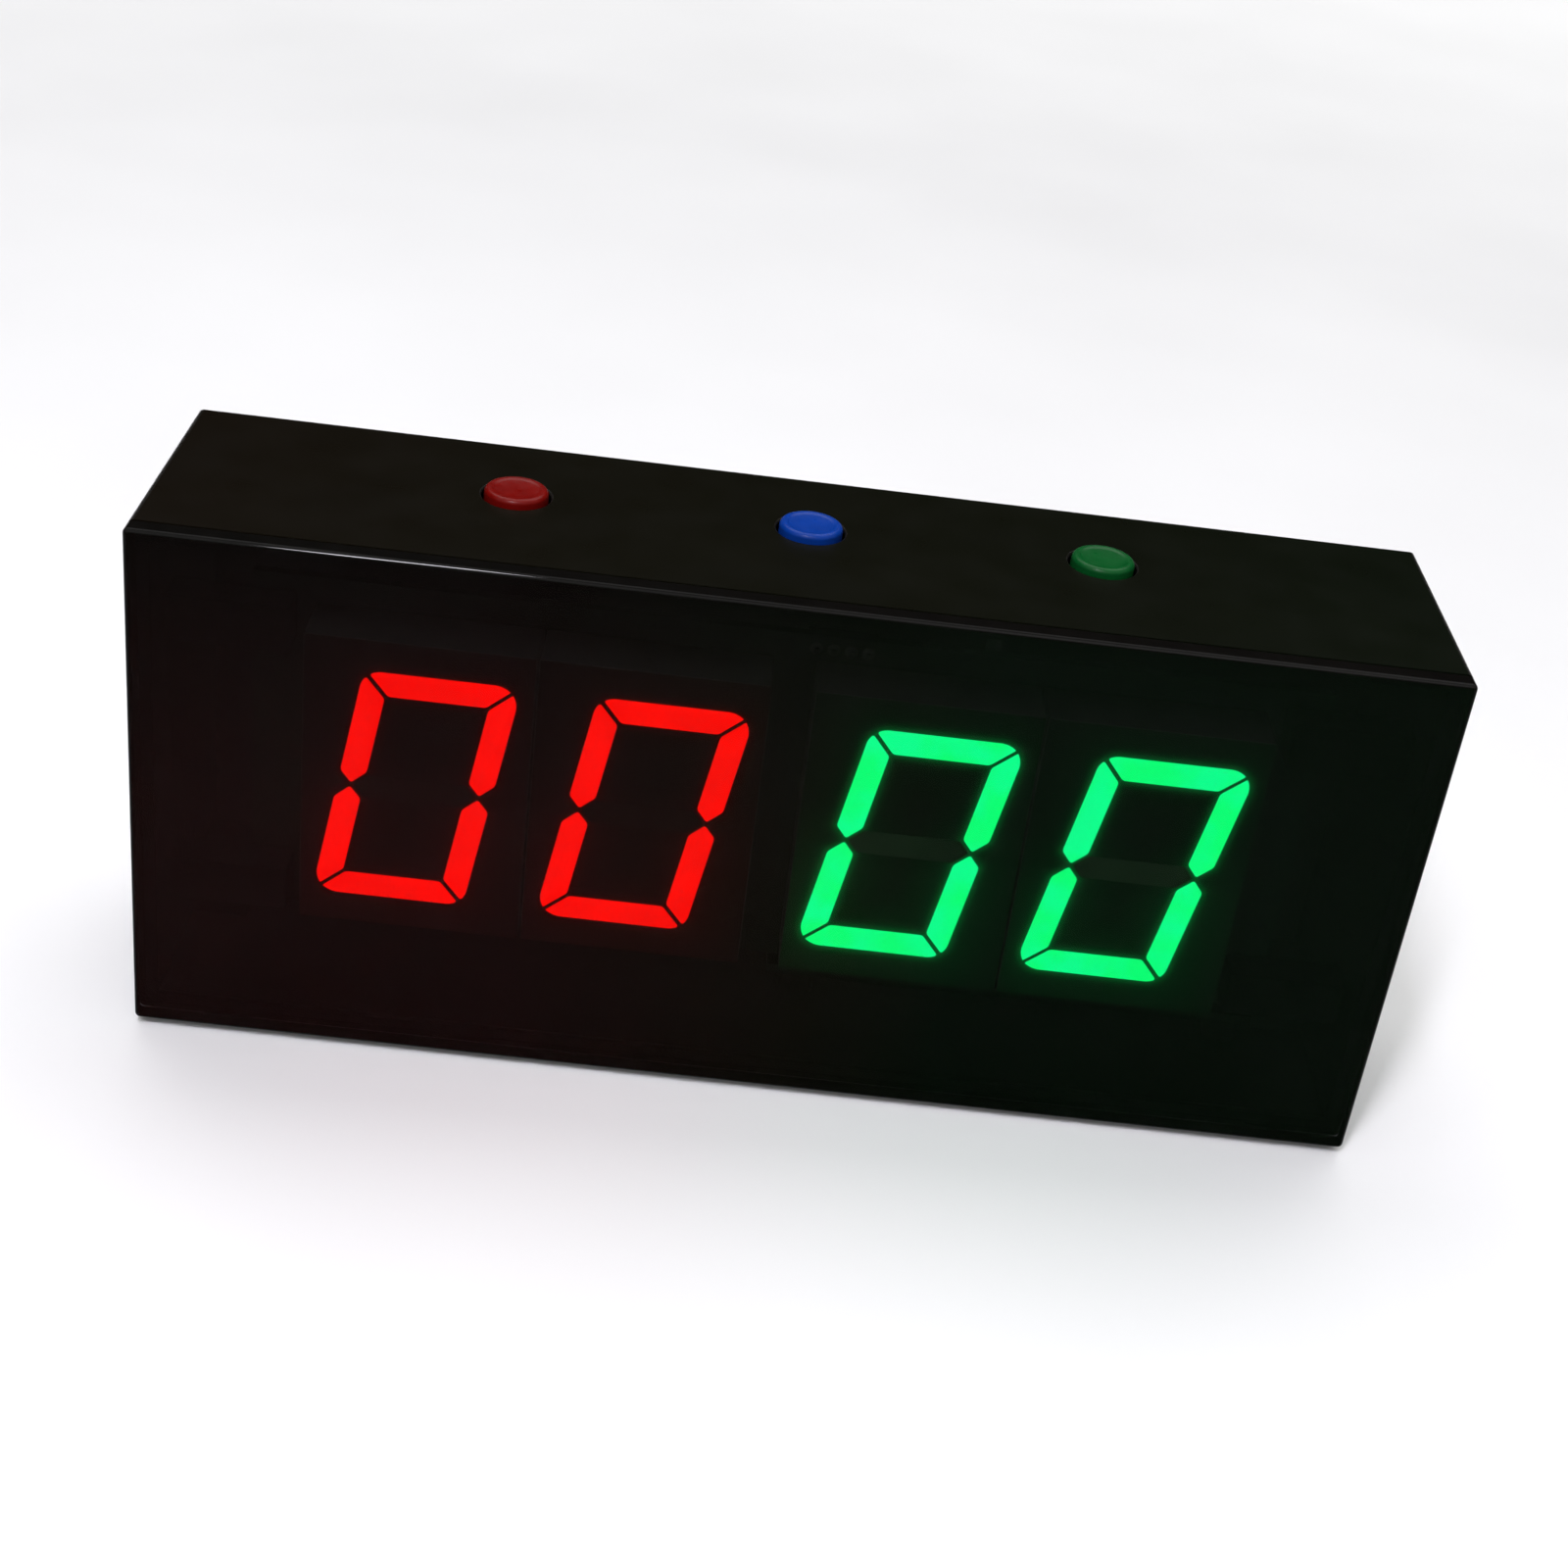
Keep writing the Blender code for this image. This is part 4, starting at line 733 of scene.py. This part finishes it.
def cross_recess(centre):
    """Cross-shaped hollow in a screw head, narrower at its bottom."""
    reach, half = RECESS_REACH, RECESS_HALF_WIDTH
    quarter = ((reach, -half), (reach, half), (half, half))
    outline = []
    for cos, sin in ((1, 0), (0, 1), (-1, 0), (0, -1)):
        outline += [(x * cos - z * sin, x * sin + z * cos) for x, z in quarter]
    bm = prism([(centre.x + x, centre.z + z) for x, z in outline],
               centre.y - RECESS_DEPTH, centre.y + 0.4 * MM)
    for vert in bm.verts:
        if vert.co.y < centre.y:
            vert.co.x += (centre.x - vert.co.x) * RECESS_TAPER
            vert.co.z += (centre.z - vert.co.z) * RECESS_TAPER
    return bm


def screw_profile(length):
    """Blunt tip, ridged thread and countersunk head, measured back from the head's face."""
    ridge = TIP_LENGTH - length
    profile = [(0, -length), (TIP_RADIUS, -length), (THREAD_RADIUS, ridge)]
    while ridge < THREAD_END:
        profile += [(THREAD_RADIUS, ridge), (CORE_RADIUS, ridge + THREAD_PITCH / 2)]
        ridge += THREAD_PITCH
    rim = HEAD_RADIUS - 0.07 * MM
    profile += [(THREAD_RADIUS, -HEAD_DEPTH), (rim, -0.12 * MM), (HEAD_RADIUS, -0.05 * MM)]
    return profile + [(rim, 0), (0, 0)]


def cover_screws():
    """Countersunk screws with a cross recess that narrows downwards."""
    for number in CORNER_NUMBERS:
        low, high, middle = node_box(f"rear_cover_screw_{number}")
        centre = Vector((middle.x, high.y, middle.z))
        body = turned(screw_profile(high.y - low.y), centre, "Y", 40)
        screw = finished(f"cover_screw_{number}_detail", body, mats["dark_steel"])
        cut(screw, cross_recess(centre))
        keep_flat(screw)
        place(screw, "case", "steel", f"rear_cover_screw_{number}")


def feet():
    """Rubber feet with a rounded edge and a shallow hollow underneath."""
    for number in CORNER_NUMBERS:
        low, high, middle = node_box(f"foot_{number}")
        radius, height = (high.x - low.x) / 2, high.z - low.z
        hollow = radius - FOOT_RIM
        profile = [(0, FOOT_HOLLOW), (hollow, FOOT_HOLLOW), (hollow + 2 * FOOT_HOLLOW, 0)]
        profile += arc((radius - FOOT_ROUND, FOOT_ROUND), FOOT_ROUND, -90, 0)
        profile += [(radius, height), (0, height)]
        body = turned(profile, (middle.x, middle.y, low.z))
        foot = finished(f"rubber_foot_{number}", body, mats["rubber"])
        place(foot, "case", "rubber", f"foot_{number}")


# ---------------------------------------------------------------- digits

DIGIT_HALF_WIDTH = 11.3 * MM
DIGIT_HALF_HEIGHT = 19.05 * MM
STROKE = 3.85 * MM
SLANT = math.tan(math.radians(10.0))
HALF_GAP = 0.3 * MM
POINT_HEIGHT = 2.0 * MM
WIDE_CORNER = 4.0 * MM
TIGHT_CORNER = 2.6 * MM
CORNER_FLATS = 8
BAR_CORNER = 0.35 * MM
BAR_TURN = math.radians(25)
BAR_DEPTH = 6 * MM
BAR_FACE_ROUND = 0.08 * MM
LIT_BARS = ((0, 1), (1, 1), (1, -1), (0, -1), (-1, -1), (-1, 1))
MIDDLE_BAR = (0, 0)
GRID_STEP = 0.5 * MM
FACE_INSET = 0.12 * MM
HALO_REACH = 0.4 * MM
WASH_REACH = 6 * MM
# Halo and wash strengths of the painted glow beside the lit bars.
GLOW = {"red": (0.12, 0.024), "green": (0.5, 0.040)}
MODULE_WALL = 1.0 * MM
MODULE_WELL = 2.5 * MM
PINS = 4


def clip(points, through, normal):
    """The part of a convex outline on the inner side of a line, whose outward normal is given."""
    heights = [(x - through[0]) * normal[0] + (z - through[1]) * normal[1] for x, z in points]
    kept = []
    for index, (here, a) in enumerate(zip(points, heights)):
        after, b = points[(index + 1) % len(points)], heights[(index + 1) % len(points)]
        if a <= 0:
            kept.append(here)
        if (a < 0 < b) or (b < 0 < a):
            share = a / (a - b)
            kept.append(tuple(p + (q - p) * share for p, q in zip(here, after)))
    return kept


def round_corner(points, corner, level):
    """Rounds an outer corner: wide where the slanted digit is sharp, tight elsewhere."""
    sx = math.copysign(1, corner[0])
    radius = WIDE_CORNER if sx * level > 0 else TIGHT_CORNER
    centre = Vector(corner) - Vector((sx, 1)) * radius
    for step in range(1, CORNER_FLATS):
        angle = math.pi / 2 * step / CORNER_FLATS
        normal = Vector((sx * math.cos(angle), math.sin(angle)))
        points = clip(points, centre + normal * radius, normal)
    return points


def bar_outline(side, level):
    """One bar of a digit. side is -1, 0, 1 for left, middle, right and level is -1, 0, 1 for
    lower, middle, upper. Bars with side 0 lie flat, the others stand."""
    half_w, half_h, half_s = DIGIT_HALF_WIDTH, DIGIT_HALF_HEIGHT, STROKE / 2
    point = Vector((POINT_HEIGHT, half_s)).normalized()
    mitre = Vector((1, 1)).normalized()
    if level == 0:
        points = [(-half_w, -half_s), (half_w, -half_s), (half_w, half_s), (-half_w, half_s)]
        for sx in (-1, 1):
            tip = Vector((sx * (half_w - half_s), 0))
            for sz in (-1, 1):
                normal = Vector((sx * point.x, sz * point.y))
                points = clip(points, tip - normal * HALF_GAP, normal)
    elif side == 0:
        inner = half_h - STROKE
        points = [(-half_w, inner), (half_w, inner), (half_w, half_h), (-half_w, half_h)]
        for sx in (-1, 1):
            normal = Vector((sx * mitre.x, -mitre.y))
            points = clip(points, Vector((sx * half_w, half_h)) - normal * HALF_GAP, normal)
            points = round_corner(points, (sx * half_w, half_h), level)
    else:
        outer, inner = side * half_w, side * (half_w - STROKE)
        points = [(outer, 0), (outer, half_h), (inner, half_h), (inner, 0)]
        normal = Vector((-side * mitre.x, mitre.y))
        points = clip(points, Vector((outer, half_h)) - normal * HALF_GAP, normal)
        for sx in (-1, 1):
            tip = Vector((side * (half_w - half_s), HALF_GAP))
            points = clip(points, tip, Vector((sx * point.x, -point.y)))
        points = round_corner(points, (outer, half_h), level)
    if level < 0:
        points = [(x, -z) for x, z in points]
    return [(x + z * SLANT, z) for x, z in points]


def add_bars(name, bars, middle, face_y, material):
    """Bars with slightly rounded faces, standing just proud of the printed face."""
    bm = bmesh.new()
    for bar in bars:
        outline = [(x + middle.x, z + middle.z) for x, z in bar_outline(*bar)]
        prism(outline, face_y, face_y + BAR_DEPTH, bm)
    bmesh.ops.recalc_face_normals(bm, faces=bm.faces)
    corners = [e for e in bm.edges if along(1)(*edge_line(e)) and e.calc_face_angle() > BAR_TURN]
    bmesh.ops.bevel(bm, geom=corners, offset=BAR_CORNER, segments=3, profile=0.5, affect="EDGES")
    round_edges(bm, lambda d, m: m.y < face_y + 0.01 * MM, BAR_FACE_ROUND, 2)
    return finished(name, bm, material)


def outline_distance(points, x, z):
    """Distance from grid points to an outline, with a negative sign inside it."""
    nearest = np.full(x.shape, 1.0)
    inside = np.ones(x.shape, dtype=bool)
    area = sum(a[0] * b[1] - b[0] * a[1] for a, b in zip(points, points[1:] + points[:1]))
    turn = math.copysign(1, area)
    for start, end in zip(points, points[1:] + points[:1]):
        run_x, run_z = end[0] - start[0], end[1] - start[1]
        length = run_x ** 2 + run_z ** 2
        if length < 1e-14:
            continue
        share = np.clip(((x - start[0]) * run_x + (z - start[1]) * run_z) / length, 0, 1)
        gap = np.hypot(x - start[0] - share * run_x, z - start[1] - share * run_z)
        nearest = np.minimum(nearest, gap)
        inside &= turn * (run_x * (z - start[1]) - run_z * (x - start[0])) > 0
    return np.where(inside, -nearest, nearest)


def painted_glow_amount(x, z, colour):
    """How much painted glow goes on points of a printed face, measured from its middle: a bright
    halo beside the lit bars, and a wash that is stronger low down."""
    nearest = np.full(x.shape, 1.0)
    for bar in LIT_BARS:
        nearest = np.minimum(nearest, outline_distance(bar_outline(*bar), x, z))
    reach = np.maximum(nearest, 0)
    lower = np.clip(-z / WASH_REACH, -1, 1)
    halo, wash = GLOW[colour]
    glow = halo * np.exp(-reach / HALO_REACH)
    return glow + wash * (1 + 0.5 * lower) * np.exp(-reach / WASH_REACH)


def printed_face(number, low, high, middle, colour):
    """Fine grid over a module's face. Its glow attribute, a painted glow, is strong beside the lit
    bars.
    """
    count_x, count_z = (round((b - a) / GRID_STEP) for a, b in ((low.x, high.x), (low.z, high.z)))
    xs = np.linspace(low.x + FACE_INSET, high.x - FACE_INSET, count_x + 1)
    zs = np.linspace(low.z + FACE_INSET, high.z - FACE_INSET, count_z + 1)
    grid_x, grid_z = (g.ravel() for g in np.meshgrid(xs, zs))
    glow = painted_glow_amount(grid_x - middle.x, grid_z - middle.z, colour)
    bm = bmesh.new()
    y = low.y + 0.06 * MM
    verts = [bm.verts.new((float(x), y, float(z))) for x, z in zip(grid_x, grid_z)]
    width = count_x + 1
    for row in range(count_z):
        for column in range(count_x):
            start = row * width + column
            corners = (start, start + 1, start + width + 1, start + width)
            bm.faces.new([verts[i] for i in corners])
    bm.verts.index_update()
    face = finished(f"digit_face_{number}", bm, mats[f"{colour}_face"])
    attribute = face.data.attributes.new("glow", "FLOAT", "POINT")
    attribute.data.foreach_set("value", glow.astype(np.float32))
    place(face, "case", "module_grey")


def digit_body(number, low, high):
    """Module housing, hollow at the back behind a thin wall."""
    bm = box((low.x, low.y + 0.1 * MM, low.z), high)
    round_edges(bm, along(1), 0.4 * MM, 3)
    round_edges(bm, lambda d, m: m.y < low.y + 0.2 * MM, 0.15 * MM, 2)
    body = finished(f"digit_body_{number}", bm, mats["module"])
    well = box(
        (low.x + MODULE_WALL, high.y - MODULE_WELL, low.z + MODULE_WALL),
        (high.x - MODULE_WALL, high.y + MM, high.z - MODULE_WALL),
    )
    cut(body, well)
    keep_flat(body)
    place(body, "case", "module_grey", f"digit_housing_{number}")


def digit_potting(number, low, high, colour):
    """Resin that fills the hollow at the back of a module."""
    inset, gap = MODULE_WALL + 0.05 * MM, 0.1 * MM
    slab = box(
        (low.x + inset, high.y - MODULE_WELL + gap, low.z + inset),
        (high.x - inset, high.y - gap, high.z - inset),
    )
    potting = finished(f"digit_potting_{number}", slab, mats["epoxy"])
    soften(potting, 0.2 * MM)
    place(potting, "case", f"segment_{colour}")


def digit_module(number):
    """One digit: housing, printed face, six lit bars, the unlit middle bar and the potting."""
    low, high, middle = node_box(f"digit_housing_{number}")
    colour = "red" if number in RED_DIGITS else "green"
    digit_body(number, low, high)
    printed_face(number, low, high, middle, colour)
    lit = add_bars(f"digit_lit_bars_{number}", LIT_BARS, middle, low.y, mats[f"{colour}_bar"])
    place(lit, "case", f"segment_{colour}", f"digit_segments_{number}")
    unlit = add_bars(f"digit_middle_bar_{number}", (MIDDLE_BAR,), middle, low.y,
                     mats[f"{colour}_unlit"])
    place(unlit, "case", f"segment_{colour}")
    digit_potting(number, low, high, colour)


def solder_points():
    """Pin tips of the cable header with their solder, on the front of the display board."""
    low, high, _ = node_box("display_header")
    board_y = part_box("display_board")[0].y
    tip = low.y - board_y
    pitch = (high.x - low.x) / PINS
    pin_z = high.z - 1.25 * MM
    profile = [(0, tip), (0.3 * MM, tip), (0.32 * MM, -0.45 * MM), (0.55 * MM, -0.2 * MM)]
    profile += [(0.85 * MM, -0.05 * MM), (0.95 * MM, 0), (0, 0)]
    bm = bmesh.new()
    for pin in range(PINS):
        turned(profile, (low.x + (pin + 0.5) * pitch, board_y, pin_z), "Y", 24, bm)
    points = finished("header_solder", bm, mats["solder"])
    place(points, "case", "steel")


# ---------------------------------------------------------------- buttons

BUTTON_RADIUS = 4.65 * MM
BUTTON_ROUND = 0.75 * MM
FLANGE_HEIGHT = 1.2 * MM
FLANGE_BEVEL = 0.2 * MM
# Radius and depth in mm.
DISH = ((3.6, 0.01), (3.45, 0.06), (3.3, 0.13), (3.1, 0.16), (0, 0.18))
SOCKET_HALF_WIDTH = 2.2 * MM
SOCKET_TOP = 1.6 * MM


def cap_profile(height, flange):
    """A cap's outline from the bottom of its flange to the middle of its dished top."""
    profile = [(0, -height), (flange - FLANGE_BEVEL, -height), (flange, FLANGE_BEVEL - height)]
    profile += [(flange, FLANGE_HEIGHT - FLANGE_BEVEL - height)]
    profile += [(flange - FLANGE_BEVEL, FLANGE_HEIGHT - height)]
    profile += [(BUTTON_RADIUS, FLANGE_HEIGHT - height)]
    profile += arc((BUTTON_RADIUS - BUTTON_ROUND, -BUTTON_ROUND), BUTTON_ROUND, 0, 90, 8)
    return profile + [(radius * MM, -depth * MM) for radius, depth in DISH]


def button_cap(colour):
    """Cap with a rounded rim, a shallow dished top, a flange and a socket for its switch."""
    low, high, middle = node_box(f"button_cap_{colour}")
    height = high.z - low.z
    top = Vector((middle.x, middle.y, high.z))
    body = turned(cap_profile(height, (high.x - low.x) / 2), top, steps=FINE_STEPS)
    cap = finished(f"button_{colour}_cap", body, mats[f"button_{colour}"])
    half = SOCKET_HALF_WIDTH
    cut(cap, box(top + Vector((-half, -half, -height - MM)),
                 top + Vector((half, half, -SOCKET_TOP))))
    keep_flat(cap)
    place(cap, f"{colour}_button", f"button_{colour}", f"button_cap_{colour}")


# ---------------------------------------------------------------- rear controls

INLET_CORNER = 1.6 * MM
INLET_WALL = 0.3 * MM
INLET_DEPTH = 6.5 * MM
TONGUE_HALF_WIDTH = 3.3 * MM
TONGUE_HALF_HEIGHT = 0.35 * MM
CONTACTS_PER_ROW = 12
CONTACT_PITCH = 0.5 * MM
CONTACT_HALF_WIDTH = 0.13 * MM
CONTACT_HALF_HEIGHT = 0.03 * MM
RIDGES = 4
RIDGE_HEIGHT = 0.35 * MM
RIDGE_PITCH = 0.5 * MM
# Distance across and depth in mm.
RIDGE_OUTLINE = ((-0.17, 0.4), (-0.07, 0), (0.07, 0), (0.17, 0.4))


def inlet_shell(low, high, middle):
    """Oval metal shell, open to the rear."""
    width, height = high.x - low.x, high.z - low.z
    centre = (middle.x, middle.z)
    bm = prism(rounded_rectangle(centre, width, height, INLET_CORNER, 10), low.y, high.y)
    shell = finished("charge_inlet_shell", bm, mats["steel"])
    opening = rounded_rectangle(centre, width - 2 * INLET_WALL, height - 2 * INLET_WALL,
                                INLET_CORNER - INLET_WALL, 10)
    cut(shell, prism(opening, high.y - INLET_DEPTH, high.y + MM))
    soften(shell, 0.1 * MM)
    place(shell, "case", "steel", "charge_inlet")


def inlet_contacts(high, middle):
    """Two rows of contacts on the tongue's faces."""
    bm = bmesh.new()
    half_x, half_z = CONTACT_HALF_WIDTH, CONTACT_HALF_HEIGHT
    for side in (-1, 1):
        for index in range(CONTACTS_PER_ROW):
            x = middle.x + (index - (CONTACTS_PER_ROW - 1) / 2) * CONTACT_PITCH
            z = middle.z + side * (TONGUE_HALF_HEIGHT + 0.01 * MM)
            box((x - half_x, high.y - 5 * MM, z - half_z),
                (x + half_x, high.y - 0.9 * MM, z + half_z), bm)
    place(finished("charge_inlet_contacts", bm, mats["gold"]), "case", "steel")


def charge_inlet():
    """Oval metal shell with a tongue that carries two rows of contacts."""
    low, high, middle = node_box("charge_inlet")
    inlet_shell(low, high, middle)
    half_x, half_z = TONGUE_HALF_WIDTH, TONGUE_HALF_HEIGHT
    tongue = box((middle.x - half_x, high.y - 7 * MM, middle.z - half_z),
                 (middle.x + half_x, high.y - 0.6 * MM, middle.z + half_z))
    piece = finished("charge_inlet_tongue", tongue, mats["chip"])
    soften(piece, 0.12 * MM)
    place(piece, "case", "steel")
    inlet_contacts(high, middle)


def grip_ridge(bm, x, rear, bottom, top):
    """Ridge that stands across the slider's end."""
    outline = [(x + offset * MM, rear - depth * MM) for offset, depth in RIDGE_OUTLINE]
    near = [bm.verts.new((*point, bottom)) for point in outline]
    far = [bm.verts.new((*point, top)) for point in outline]
    bm.faces.new(near)
    bm.faces.new(list(reversed(far)))
    for index in range(len(outline)):
        after = (index + 1) % len(outline)
        bm.faces.new((near[index], far[index], far[after], near[after]))


def power_slider():
    """Slider knob with grip ridges across its end."""
    low, high, _ = node_box("power_switch_slider")
    bm = box(low, (high.x, high.y - RIDGE_HEIGHT, high.z))
    for ridge in range(RIDGES):
        x = low.x + (ridge + 0.5) * RIDGE_PITCH
        grip_ridge(bm, x, high.y, low.z + 0.1 * MM, high.z - 0.1 * MM)
    knob = finished("power_slider_knob", bm, mats["switch"])
    place(knob, "power_slider", "switch_black", "power_switch_slider")


# ---------------------------------------------------------------- CAD parts that stay

def carry_over():
    """Finishes for the CAD nodes whose own shape is shown."""
    looks = {
        "display_board": "board", "switch_board": "board",
        "control_board": "board", "display_header": "chip", "display_plug": "chip",
        "display_driver_chip": "chip", "controller_chip": "chip", "buzzer": "chip",
        "power_switch_body": "steel", "battery_cell": "battery", "battery_tape": "foam",
        "display_lower_plug": "white", "switch_plug": "white", "battery_plug": "white",
    }
    for name in ("display", "switch", "battery"):
        looks[f"{name}_socket"] = "white"
        looks[f"{name}_cable"] = "cable"
    for colour in BUTTONS:
        looks[f"switch_body_{colour}"] = "switch"
        looks[f"switch_plunger_{colour}"] = "plunger"
    for number in CORNER_NUMBERS:
        looks[f"display_board_screw_{number}"] = "steel"
    for number in (1, 2):
        looks[f"switch_board_screw_{number}"] = "steel"
        looks[f"control_board_screw_{number}"] = "steel"
    for node, look in looks.items():
        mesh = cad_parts[node].data
        mesh.materials.clear()
        mesh.materials.append(mats[look])


add_camera()
add_studio()
front_panel()
adhesive_ring()
case_shell()
rear_cover()
cover_screws()
feet()
for digit in RED_DIGITS + GREEN_DIGITS:
    digit_module(digit)
solder_points()
for button in BUTTONS:
    button_cap(button)
charge_inlet()
power_slider()
carry_over()
